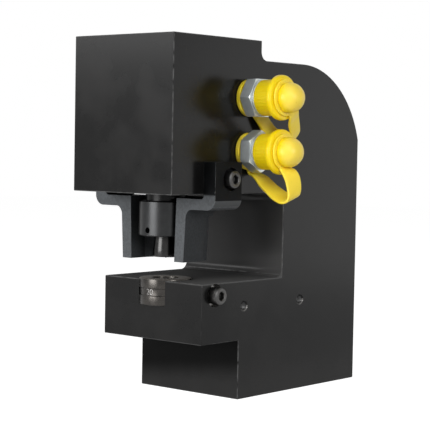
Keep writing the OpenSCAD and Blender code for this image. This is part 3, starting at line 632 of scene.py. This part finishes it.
def bend(mesh, change):
    """Moves all points of a mesh at once. Change takes rows of x, y, z and gives the new ones."""
    place = np.empty(len(mesh.vertices) * 3)
    mesh.vertices.foreach_get("co", place)
    mesh.vertices.foreach_set("co", change(place.reshape(-1, 3)).ravel())
    mesh.update()


def edged_copy(name, node, width, steps=2, turn=25, move=None):
    """A copy of a node whose edges that turn by more than the given degrees are rounded off by width."""
    mesh = bpy.data.meshes.new(name)
    shape = bmesh.new()
    shape.from_mesh(nodes[node].data)
    bmesh.ops.remove_doubles(shape, verts=shape.verts, dist=2e-6)
    bmesh.ops.dissolve_limit(shape, angle_limit=math.radians(0.6), verts=shape.verts, edges=shape.edges)
    edge = shape.faces.layers.float.new("edge")
    bare = shape.faces.layers.float.new("bare")
    for face in shape.faces:
        face[edge] = is_chamfer(face)
        face[bare] = bare_share(face, node)
    corners = [e for e in shape.edges if e.is_manifold and e.calc_face_angle(0) > math.radians(turn)]
    made = bmesh.ops.bevel(shape, geom=corners, offset=width, offset_type="OFFSET", segments=steps,
                           profile=0.5, affect="EDGES", clamp_overlap=True)
    for face in made["faces"]:
        face[edge] = 2.0 if is_painted_highlight_edge(face, node) else 1.0
    shape.to_mesh(mesh)
    shape.free()
    if move:
        bend(mesh, move)
    piece = placed(name, mesh)
    shade(mesh)
    even = piece.modifiers.new("flat_faces_stay_flat", "WEIGHTED_NORMAL")
    even.weight = 100
    even.keep_sharp = True
    dress(piece, body_of_node[node], slot_of_node[node], node)
    return piece


def draft(place, low=0.105, high=0.145, spread=0.065, reach=0.032, fade=0.008):
    """Widens the bracket's wall towards its top, as a casting's draft does: each point moves away from
    the punch axis by its distance times the spread, times a share that grows from 0 at the lower edge
    to 1 at the arms, and that fades out along the arms. In front of the axis it only moves along X."""
    axis = middle("punch")
    up = np.clip((place[:, 2] - low) / (high - low), 0, 1)
    near = np.clip((reach + fade - np.abs(place[:, 0])) / fade, 0, 1)
    ways = np.where(place[:, 1:2] > axis[1], [1, 1, 0], [1, 0, 0])
    return place + (place - axis) * (spread * up * near)[:, None] * ways


edged_copy("frame_block", "frame", 0.25 * MM)
edged_copy("stripper_bracket", "stripper", 0.5 * MM, 3, move=draft)
edged_copy("gland_nut_body", "gland_nut", 0.2 * MM)
edged_copy("punch_nut_body", "punch_nut", 0.25 * MM)

# %% [markdown]
# ## Turned pieces
#
# Nearly everything else is round about one axis, so one builder makes it: rows of points stand for the
# profile, and each row goes round the axis. A Screw modifier turns a profile as well, but here a row's
# radius may change with the angle, which also gives the hexagon, the socket and the knurl. Corners of
# the profile are rounded by short curves before it is turned.

# %% The turned-surface builder
def rounded(corners, radii, steps=4):
    """Replaces each inner corner of a line by a curve that starts and ends a radius away from it.

    The curve is (1 - t)^2 times its start, plus 2 t (1 - t) times the corner, plus t^2 times its end.
    The radius is cut to half of the shorter side, so that neighbouring curves don't cross.
    """
    p = np.array(corners, dtype=float)
    back, ahead = p[:-2] - p[1:-1], p[2:] - p[1:-1]
    len_back, len_ahead = np.linalg.norm(back, axis=1), np.linalg.norm(ahead, axis=1)
    reach = np.minimum(np.broadcast_to(radii, len_back.shape), 0.49 * np.minimum(len_back, len_ahead))
    start = p[1:-1] + back * (reach / len_back)[:, None]
    end = p[1:-1] + ahead * (reach / len_ahead)[:, None]
    t = np.linspace(0, 1, steps)[None, :, None]
    curve = (1 - t) ** 2 * start[:, None] + 2 * t * (1 - t) * p[1:-1, None] + t ** 2 * end[:, None]
    return np.vstack([p[:1], curve.reshape(-1, 2), p[-1:]])


def lattice(rows, columns, close_rows):
    """Quads between neighbours of a grid of points. Its columns close into rings, its rows if asked."""
    r = np.arange(rows if close_rows else rows - 1)[:, None]
    c = np.arange(columns)[None, :]
    below, above = (r * columns, (r + 1) % rows * columns)
    right = (c + 1) % columns
    return np.stack([below + c, below + right, above + right, above + c], axis=-1).reshape(-1, 4)


def full_turn(count):
    """The angles of a ring's points, in radians."""
    return np.linspace(0, 2 * np.pi, count, endpoint=False)


# Where the profile's own x, y and z point, for each direction that an axis may have
AXES = {"+Z": ((1, 0, 0), (0, 1, 0), (0, 0, 1)), "+X": ((0, 1, 0), (0, 0, 1), (1, 0, 0)),
        "-X": ((0, -1, 0), (0, 0, 1), (-1, 0, 0))}


def turned(name, profile, centre, along, around=96, radius=None, close=False, sharp=35):
    """Turns a profile of [distance along the axis, radius] in millimetres about an axis.

    Point (i, j) lies at distance profile[i, 0] along the axis, at radius[i, j] from it and at the
    angle 2 pi j / around. Radius is the profile's own where no other is given. Each point also
    carries its distance along the profile, for the tool marks.
    """
    profile = np.asarray(profile, dtype=float)
    angle = full_turn(around)
    if radius is None:
        radius = np.repeat(profile[:, 1:], around, axis=1)
    local = np.stack([radius * np.cos(angle), radius * np.sin(angle),
                      np.repeat(profile[:, :1], around, axis=1)], axis=-1)
    points = local.reshape(-1, 3) * MM @ np.array(AXES[along], dtype=float) + centre
    mesh = bpy.data.meshes.new(name)
    mesh.from_pydata(points.tolist(), [], lattice(len(profile), around, close).tolist())
    steps = np.linalg.norm(np.diff(profile, axis=0), axis=1)
    distance = np.concatenate([[0], np.cumsum(steps)]) * MM
    mesh.attributes.new("profile", "FLOAT", "POINT").data.foreach_set("value", np.repeat(distance, around))
    return closed_piece(name, mesh, sharp)


def closed_piece(name, mesh, sharp=35):
    """Merges doubled points, drops faces that shrank to a line and turns all faces outwards."""
    shape = bmesh.new()
    shape.from_mesh(mesh)
    bmesh.ops.remove_doubles(shape, verts=shape.verts, dist=1e-6)
    bmesh.ops.dissolve_degenerate(shape, dist=1e-7, edges=shape.edges)
    bmesh.ops.recalc_face_normals(shape, faces=shape.faces)
    shape.to_mesh(mesh)
    shape.free()
    shade(mesh, sharp)
    return placed(name, mesh)


def hexagon(angle, flat_to_flat, flat_at=0.0):
    """Distance to a hexagon's outline: half its width over the cosine of the angle from a flat's middle."""
    off = (angle - flat_at + np.pi / 6) % (np.pi / 3) - np.pi / 6
    return flat_to_flat / 2 / np.cos(off)


# %% [markdown]
# ## Punch and die
#
# The punch is ground to size, has a small nib that finds the centre mark, and narrows above its cutting
# end. The die is a ring with a groove, where the lock screw holds it, and a relief below its cutting
# edge. Both are lists of corners. The die's list closes on itself, because a hole goes through it. Its
# size is stamped in the groove: the number is a text turned into a mesh and bent round the die.

# %% Punch and die
PUNCH_AXIS = middle("punch")
PUNCH_LOW, PUNCH_HIGH = (corner[2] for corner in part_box("punch"))
PUNCH_LENGTH = (PUNCH_HIGH - PUNCH_LOW) / MM
DIE_TALL = (DIE_HIGH - DIE_LOW) / MM
# The die's radii, and the height of its groove's two sides, in millimetres
DIE_R, GROOVE_R, HOLE_R, RELIEF_R = 20, 19.4, 10.3, 11.3
GROOVE = (7.0, 13.0)


def on_punch_axis(z):
    return PUNCH_AXIS[0], PUNCH_AXIS[1], z


def closed_loop(corners, radii, steps=4):
    """The same rounding for a profile that closes on itself."""
    turns = np.vstack([corners[-1:], corners, corners[:1]])
    return rounded(turns, radii, steps)[1:-1]


def make_punch():
    tip, land, neck, head = 1.2, 6.2, 17.2, 21.2
    cut_r, neck_r, head_r = 10, 8.75, 14.2
    corners = [(0, 0), (0.2, 0.3), (tip, 1.5), (tip, cut_r), (land, cut_r), (neck, neck_r), (head, neck_r),
               (head, head_r), (PUNCH_LENGTH, head_r), (PUNCH_LENGTH, 0)]
    profile = rounded(corners, (0.2, 0.4, 0.08, 0.6, 1.5, 0.4, 0.2, 0.4))
    piece = turned("round_punch", profile, on_punch_axis(PUNCH_LOW), "+Z", sharp=28)
    dress(piece, "ram", "tool_steel", "punch")


def make_die():
    slope = DIE_R - GROOVE_R
    low, high = GROOVE
    corners = np.array([(0, RELIEF_R), (0, DIE_R), (low, DIE_R), (low + slope, GROOVE_R),
                        (high - slope, GROOVE_R), (high, DIE_R), (DIE_TALL, DIE_R), (DIE_TALL, HOLE_R),
                        (14, HOLE_R), (14, RELIEF_R)])
    radii = (0.3, 0.8, 0.15, 0.15, 0.15, 0.15, 0.8, 0.12, 0.1, 0.1)
    piece = turned("die_ring", closed_loop(corners, radii), on_punch_axis(DIE_LOW), "+Z", around=120,
                   close=True, sharp=28)
    dress(piece, "root", "die_steel", "die")


def make_die_number(text="20", height=6.2, turn=-85.0, raised=0.09):
    """The text's x becomes the angle round the die, x over the radius, and its y the height."""
    curve = bpy.data.curves.new("die_number", "FONT")
    curve.body = text
    curve.size = height
    curve.align_x, curve.align_y = "CENTER", "CENTER"
    curve.extrude = raised / 2
    source = placed("die_number_text", curve)
    mesh = bpy.data.meshes.new_from_object(source.evaluated_get(bpy.context.evaluated_depsgraph_get()))
    bpy.data.objects.remove(source)

    def round_the_die(flat):
        radius = GROOVE_R + flat[:, 2]
        angle = math.radians(turn) + flat[:, 0] / GROOVE_R
        z = flat[:, 1] + sum(GROOVE) / 2
        points = np.stack([radius * np.cos(angle), radius * np.sin(angle), z], axis=-1)
        return points * MM + on_punch_axis(DIE_LOW)

    bend(mesh, round_the_die)
    dress(closed_piece("die_number", mesh), "root", "die_steel", finish="etched_steel")


make_punch()
make_die()
make_die_number()


# %% [markdown]
# ## Socket head screws
#
# A cap screw's head has a straight knurl for the fingers, a chamfered top and a hexagonal socket with a
# countersunk entry. A Boolean cut would leave long thin faces that shade badly. So the knurl is a
# cosine of the angle taken off the radius, and the socket's rows use the distance to a hexagon's
# outline in place of a circle. The screws differ in their shanks only.

# %% Cap screws
SCREW_ROUND = 240
KNURLS, KNURL_DEPTH = 48, 0.2
SOCKET = 6.0
SHANK_R, HEAD_R, HEAD_TALL = 4, 6.5, 8


def screw_surface(shank, point):
    """Rows from the tip over the head to the socket's floor, as profile and radius arrays. Point is
    the size of the chamfer at the tip."""
    angle = full_turn(SCREW_ROUND)
    outside = rounded([(-shank, 0), (-shank, SHANK_R - point), (point - shank, SHANK_R), (0, SHANK_R),
                       (0, HEAD_R), (0.9, HEAD_R), (6.9, HEAD_R), (HEAD_TALL, 5.5), (HEAD_TALL, 3.8),
                       (7.9, 3.7)], (0.2, 0.3, 0.2, 0.3, 0.1, 0.3, 0.5, 0.12))
    inside = np.array([(7.6, 3.4), (7.3, 3.1), (7.1, 2.9), (4, 2.9), (3.4, 0)])
    profile = np.vstack([outside, inside])
    radius = np.repeat(profile[:, 1:], SCREW_ROUND, axis=1)
    knurled = (profile[:, 0] > 0.7) & (profile[:, 0] < 6.95) & (profile[:, 1] > 6.45)
    radius[knurled] -= KNURL_DEPTH * (0.5 + 0.5 * np.cos(KNURLS * angle))
    socket = slice(len(outside), len(profile) - 1)
    radius[socket] = np.maximum(radius[socket], hexagon(angle, SOCKET))
    return profile, radius


def make_screw(name, node, along, point):
    low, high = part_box(node)
    head_at = high[0] - HEAD_TALL * MM if along == "+X" else low[0] + HEAD_TALL * MM
    shank = (high[0] - low[0]) / MM - HEAD_TALL
    profile, radius = screw_surface(shank, point)
    centre = (head_at, *middle(node)[1:])
    piece = turned(name, profile, centre, along, SCREW_ROUND, radius, sharp=40)
    dress(piece, "root", "black_oxide", node)


make_screw("ear_screw_right", "stripper_screw_right", "+X", 0.8)
make_screw("ear_screw_left", "stripper_screw_left", "-X", 0.8)
make_screw("die_screw", "die_lock_screw", "+X", 1.8)


# %% [markdown]
# The two empty holes in the right side are tapped. A bump would do from afar, but a ridge should stand
# out at the rim. A thread is a helix, so its surface is a tube whose radius goes up and down with the
# distance along the hole plus one pitch for each turn.

# %% Threads in the side holes
def make_thread(name, centre, pitch=1.25, depth=12.0, start=0.9, core=3.4, height=0.42, clear=0.02,
                wall=0.25):
    """Radius is the core's, less what keeps it clear of the hole, less the height times a flat-topped
    wave. The wave's period is one pitch, and it is shifted by angle / 2 pi. The tube's outside lies in
    the block, by the wall's thickness."""
    around, rows = 48, 120
    angle = full_turn(around)
    along = np.linspace(start, depth, rows)
    phase = (along[:, None] / pitch + angle[None, :] / (2 * np.pi)) % 1.0
    wave = np.clip(1.35 - 2.7 * np.abs(phase - 0.5), 0, 1)
    fade = np.clip((along - start) / pitch, 0, 1)[:, None]
    inner = core - clear - height * wave * fade
    outer = np.full((1, around), core + wall)
    profile = np.vstack([[[-depth, core + wall]], np.stack([-along, np.full(rows, core)], axis=-1)[::-1],
                         [[-start, core + wall]]])
    radius = np.vstack([outer, inner[::-1], outer])
    piece = turned(name, profile, centre, "+X", around, radius, close=True)
    dress(piece, "root", "black_paint", finish="tapped_steel")


for label, shift in (("front", -HALF_PITCH), ("back", HALF_PITCH)):
    make_thread(f"side_hole_thread_{label}", (SIDE_X, SINK_END[1] + shift, SINK_END[2]))


# %% [markdown]
# ## Hose couplers
#
# A coupler body is one turned steel part, zinc plated: a thread into the head, a hexagon for the spanner,
# a round collar and the nose that the hose's coupler locks on. Its corners are turned off with a cone,
# so the radius is the smaller of the hexagon's and the cone's, which needs no second shape to cut with.
# The profile comes back through the oil passage, so the piece is hollow as the real one is.

# %% Coupler bodies
COUPLER_ROUND = 144
# Places along the axis, from the frame's side, and radii, in millimetres
HEX_FLATS, HEX_CONE, HEX_ROUND = 28.0, 15.17, 0.12
HEX_START, HEX_END = 5.5, 14.5
THREAD_R, NECK_R, COLLAR_R, NOSE_R, GRIP_R, PASSAGE_R = 8.3, 8.5, 13.75, 11.4, 10.2, 6


def coupler_surface(flat_at):
    """Outside rows, then the passage's rows back to the start. Hexagon rows take the smaller radius."""
    angle = full_turn(COUPLER_ROUND)
    before = rounded([(-13.5, PASSAGE_R), (-13.5, 7.3), (-12.5, THREAD_R), (0, THREAD_R), (0, NECK_R),
                      (HEX_START, NECK_R), (HEX_START, 11)], (0.2, 0.4, 0.05, 0.05, 0.2))
    ramp = np.array([0, 0.1, 0.2, 0.3, 0.4, 0.5])
    hex_x = np.concatenate([HEX_START + ramp, HEX_END - ramp[::-1]])
    cone = HEX_CONE + 2 * np.concatenate([ramp, ramp[::-1]])
    hex_rows = np.stack([hex_x, cone], axis=-1)
    after = rounded([(HEX_END, 14), (HEX_END, 13.3), (HEX_END + 0.4, COLLAR_R), (16.5, COLLAR_R),
                     (16.5, NOSE_R), (22.5, NOSE_R), (23.7, GRIP_R), (25.7, GRIP_R), (26.9, NOSE_R),
                     (31, NOSE_R), (32, 10.4), (32, 3.6), (25, 3.6), (22, PASSAGE_R), (-10.7, PASSAGE_R),
                     (-10.7, 6.55), (-12.1, 6.55), (-12.1, PASSAGE_R), (-13.5, PASSAGE_R)],
                    (0.1, 0.2, 0.3, 0.15, 0.5, 0.4, 0.4, 0.4, 0.4, 0.3, 0.4, 0.3, 0.3) + 4 * (0.05,))
    profile = np.vstack([before, hex_rows, after[:-1]])
    radius = np.repeat(profile[:, 1:], COUPLER_ROUND, axis=1)
    rows = slice(len(before), len(before) + len(hex_rows))
    corner = HEX_FLATS / 2 / math.cos(math.pi / 6) - HEX_ROUND
    radius[rows] = np.minimum(np.minimum(radius[rows], hexagon(angle, HEX_FLATS, flat_at)), corner)
    return profile, radius


def port_of(side):
    """Where the coupler's axis leaves the frame's side."""
    place = middle(f"coupler_body_{side}")
    return SIDE_X, place[1], place[2]


def make_coupler(side):
    flat_at = math.pi / 6 if side == "upper" else 0.0
    profile, radius = coupler_surface(flat_at)
    piece = turned(f"coupler_{side}", profile, port_of(side), "+X", COUPLER_ROUND, radius, close=True,
                   sharp=32)
    dress(piece, "root", "zinc_plate", f"coupler_body_{side}")


for side in SIDES:
    make_coupler(side)


# %% [markdown]
# The coil inside a coupler is pushed together when its poppet opens. A piece can't shorten by riding on
# a body, so the coil is a copy of the CAD node's mesh with its own data, fixed to the root.

# %% Valve springs
def make_spring(side):
    node = f"valve_spring_{side}"
    piece = placed(f"coil_{side}", nodes[node].data.copy())
    dress(piece, "root", slot_of_node[node], node)
    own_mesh(piece)


for side in SIDES:
    make_spring(side)


# %% [markdown]
# ## Dust caps
#
# A cap is moulded in one piece: a skirt with fine ribs that grips the nose, a thick round flange to pull
# it off by, a neck for the strap's eyelet, and a ball. The ribs are another cosine of the angle, raised
# to a power that makes them narrow, and they fade out at both ends of the skirt. The profile starts at
# the ball's top and ends at the bottom of the cavity, both on the axis.

# %% Caps
CAP_ROUND = 192
RIBS, RIB_DEPTH = 32, 0.22
# Places along the axis, from the frame's side, and radii, in millimetres
BALL_X, BALL_R, BALL_END = 40, 11.2, 37.3
EYELET_R, FLANGE_R, SKIRT_R, CAVITY_R = 8.5, 16.8, 13.5, 11.7
SKIRT_TOP, SKIRT_LOW, SKIRT_ROWS = 30, 17.2, 16


def cap_surface():
    """The ball is an arc about (BALL_X, 0) that ends at BALL_END. Skirt rows lose a cosine of the angle."""
    angle = full_turn(CAP_ROUND)
    turn = np.linspace(0, math.acos((BALL_END - BALL_X) / BALL_R), 22)
    ball = np.stack([BALL_X + BALL_R * np.cos(turn), BALL_R * np.sin(turn)], axis=-1)
    skirt_x = np.linspace(SKIRT_TOP, SKIRT_LOW, SKIRT_ROWS)
    outside = rounded([tuple(ball[-1]), (BALL_END, EYELET_R), (35, EYELET_R), (35, FLANGE_R),
                       (30.5, FLANGE_R), (30.5, SKIRT_R), (30.2, SKIRT_R)], (0.5, 0.5, 2.0, 0.9, 0.5))
    skirt = np.stack([skirt_x, np.full(SKIRT_ROWS, SKIRT_R)], axis=-1)
    inside = rounded([(16.9, SKIRT_R), (16.8, 13.3), (16.8, CAVITY_R), (32.3, CAVITY_R), (32.3, 0)],
                     (0.1, 0.2, 1.0))
    profile = np.vstack([ball[:-1], outside, skirt, inside])
    radius = np.repeat(profile[:, 1:], CAP_ROUND, axis=1)
    rows = slice(len(ball) - 1 + len(outside), len(ball) - 1 + len(outside) + len(skirt))
    fade = np.clip(np.minimum(SKIRT_TOP - skirt_x, skirt_x - SKIRT_LOW) / 1.2, 0, 1)[:, None]
    radius[rows] -= RIB_DEPTH * fade * (0.5 + 0.5 * np.cos(RIBS * angle)) ** 4
    return profile, radius


def make_cap(side):
    profile, radius = cap_surface()
    piece = turned(f"cap_{side}", profile, port_of(side), "+X", CAP_ROUND, radius, sharp=50)
    dress(piece, f"dust_cap_{side}", "yellow_vinyl", f"dust_cap_{side}")


for side in SIDES:
    make_cap(side)


# %% [markdown]
# ## Straps
#
# Each cap hangs on a strap: a ring round the coupler's neck, a flat band that bends back on itself, and
# an eyelet behind the ball. A moulded band twists as it bends, so its two edges don't run alike. A curve
# with a bevel couldn't follow that, so both edges are drawn as smooth curves, and the band is the
# rounded section carried between them. The lower strap hangs free, and leaves its ring a little further
# back. The upper one swings to the back and goes down behind the lower cap.

# %% Bands between two edges
def smooth_line(points, samples):
    """A Catmull-Rom curve through all the points: cubic pieces whose slope at a point is half the step
    from the point before to the point after."""
    p = np.array(points, dtype=float)
    p = np.vstack([2 * p[0] - p[1], p, 2 * p[-1] - p[-2]])
    t = np.linspace(0, len(points) - 1 - 1e-9, samples)
    k = t.astype(int)
    t = (t - k)[:, None]
    a, b, c, d = p[k], p[k + 1], p[k + 2], p[k + 3]
    return 0.5 * (2 * b + (c - a) * t + (2 * a - 5 * b + 4 * c - d) * t ** 2
                  + (3 * b - a - 3 * c + d) * t ** 3)


def band_section(count=20, power=0.35):
    """A rounded rectangle from -1 to 1 both ways: cosine and sine, each raised to a small power."""
    waves = np.stack([np.cos(full_turn(count)), np.sin(full_turn(count))])
    return np.sign(waves) * np.abs(waves) ** power


def band_mesh(name, near, far, thickness):
    """Point (i, j) is the middle of the two edges at i, plus the section's share of half the width and
    half the thickness. The ends shrink to their middle, so the band is closed."""
    centre, half = (near + far) / 2, (near - far) / 2
    forward = np.gradient(centre, axis=0)
    across = np.cross(forward, half)
    across /= np.linalg.norm(across, axis=1)[:, None]
    u, v = band_section()
    points = (centre[:, None] + u[None, :, None] * half[:, None]
              + v[None, :, None] * across[:, None] * thickness[:, None, None] / 2)
    ends = np.repeat(centre[[0, -1], None], len(u), axis=1)
    points = np.concatenate([ends[:1], points, ends[1:]])
    mesh = bpy.data.meshes.new(name)
    mesh.from_pydata(points.reshape(-1, 3).tolist(), [], lattice(len(points), len(u), False).tolist())
    return closed_piece(name, mesh, 60)


# Edges of each band as (x, distance of the front edge, x, distance of the back edge, shift to the back)
# in millimetres, from the frame's side and from the coupler's axis
BAND_EDGES = {
    "lower": [(2.0, 10.5, 2.0, 10.5, 3.0), (2.3, 13.2, 2.3, 13.2, 4.0), (3.4, 16.6, 3.6, 16.4, 4.5),
              (7.0, 18.2, 8.6, 17.8, 4.5), (11.0, 21.9, 13.2, 19.4, 4.2), (15.7, 26.4, 18.0, 22.3, 3.4),
              (22.3, 30.6, 23.6, 25.5, 2.4), (28.8, 34.8, 29.7, 28.3, 1.4), (36.1, 37.4, 36.9, 31.4, 0.6),
              (41.0, 37.2, 41.9, 32.4, 0.2), (44.4, 34.2, 46.0, 30.8, 0), (44.0, 27.5, 47.2, 26.0, 0),
              (41.6, 20.5, 46.0, 18.6, 0), (38.6, 15.6, 42.4, 13.6, 0), (36.6, 12.6, 37.6, 11.8, 0),
              (36.15, 10.5, 36.15, 10.5, 0)],
    "upper": [(2.0, 10.5, 2.0, 10.5, 0), (2.4, 13.2, 2.4, 13.2, 0), (3.2, 17.0, 3.4, 17.0, 0),
              (4.0, 23.0, 4.4, 23.0, 0), (4.6, 30.0, 5.4, 29.6, 0), (7.0, 36.4, 8.0, 35.2, 0),
              (11.5, 40.6, 12.4, 38.6, 0), (17.4, 42.2, 17.8, 40.6, 0), (23.2, 40.8, 23.8, 39.8, 0),
              (27.2, 37.0, 27.8, 36.6, 0), (29.4, 32.2, 30.2, 32.0, 0), (30.9, 26.7, 32.2, 26.7, 0),
              (32.7, 21.2, 34.2, 21.2, 0), (35.0, 17.3, 35.9, 17.3, 0), (36.1, 14.4, 36.4, 14.4, 0),
              (36.15, 10.5, 36.15, 10.5, 0)]}
BAND_SWING = {"lower": 0.0, "upper": 40.0}
BAND_WIDTH, BAND_THICK, BAND_END = 12.0, 2.2, 1.6
BAND_ROWS = 90


def band_edge(side, knots, sideways):
    """Points at a port from x along its axis, the distance below it, swung to the back, and the shift."""
    swing = math.radians(BAND_SWING[side])
    down = np.array([0, math.sin(swing), -math.cos(swing)])
    front = np.array([0, -math.cos(swing), -math.sin(swing)])
    line = smooth_line(knots, BAND_ROWS)
    x = line[:, :1] * np.array([[1.0, 0, 0]])
    return np.array(port_of(side)) + (x + line[:, 1:2] * down + (sideways - line[:, 2:]) * front) * MM


def flat_ring(name, side, x, thick, inner, outer, soft):
    corners = np.array([(x, inner), (x, outer), (x + thick, outer), (x + thick, inner)])
    profile = closed_loop(corners, (0.3, soft, soft, 0.3), 5)
    return turned(name, profile, port_of(side), "+X", close=True, sharp=60)


def joined(name, parts):
    """One piece from several closed shells, which are removed."""
    shape = bmesh.new()
    for part in parts:
        shape.from_mesh(part.data)
        bpy.data.objects.remove(part)
    mesh = bpy.data.meshes.new(name)
    shape.to_mesh(mesh)
    shape.free()
    shade(mesh, 60)
    return placed(name, mesh)


def make_strap(side):
    knots = np.array(BAND_EDGES[side])
    near = band_edge(side, knots[:, [0, 1, 4]], BAND_WIDTH / 2)
    far = band_edge(side, knots[:, 2:], -BAND_WIDTH / 2)
    share = np.linspace(0, 1, BAND_ROWS)
    thickness = np.interp(share, (0, 0.9, 1), (BAND_THICK, BAND_THICK, BAND_END)) * MM
    ring = flat_ring("ring", side, x=0.3, thick=3.5, inner=8.8, outer=14.0, soft=0.9)
    eyelet = flat_ring("eyelet", side, x=35.3, thick=1.7, inner=8.8, outer=13.6, soft=0.6)
    piece = joined(f"strap_{side}", [ring, eyelet, band_mesh("band", near, far, thickness)])
    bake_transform(piece)
    dress(piece, None, "yellow_vinyl", f"cap_strap_{side}", finish="pale_vinyl")


for side in SIDES:
    make_strap(side)
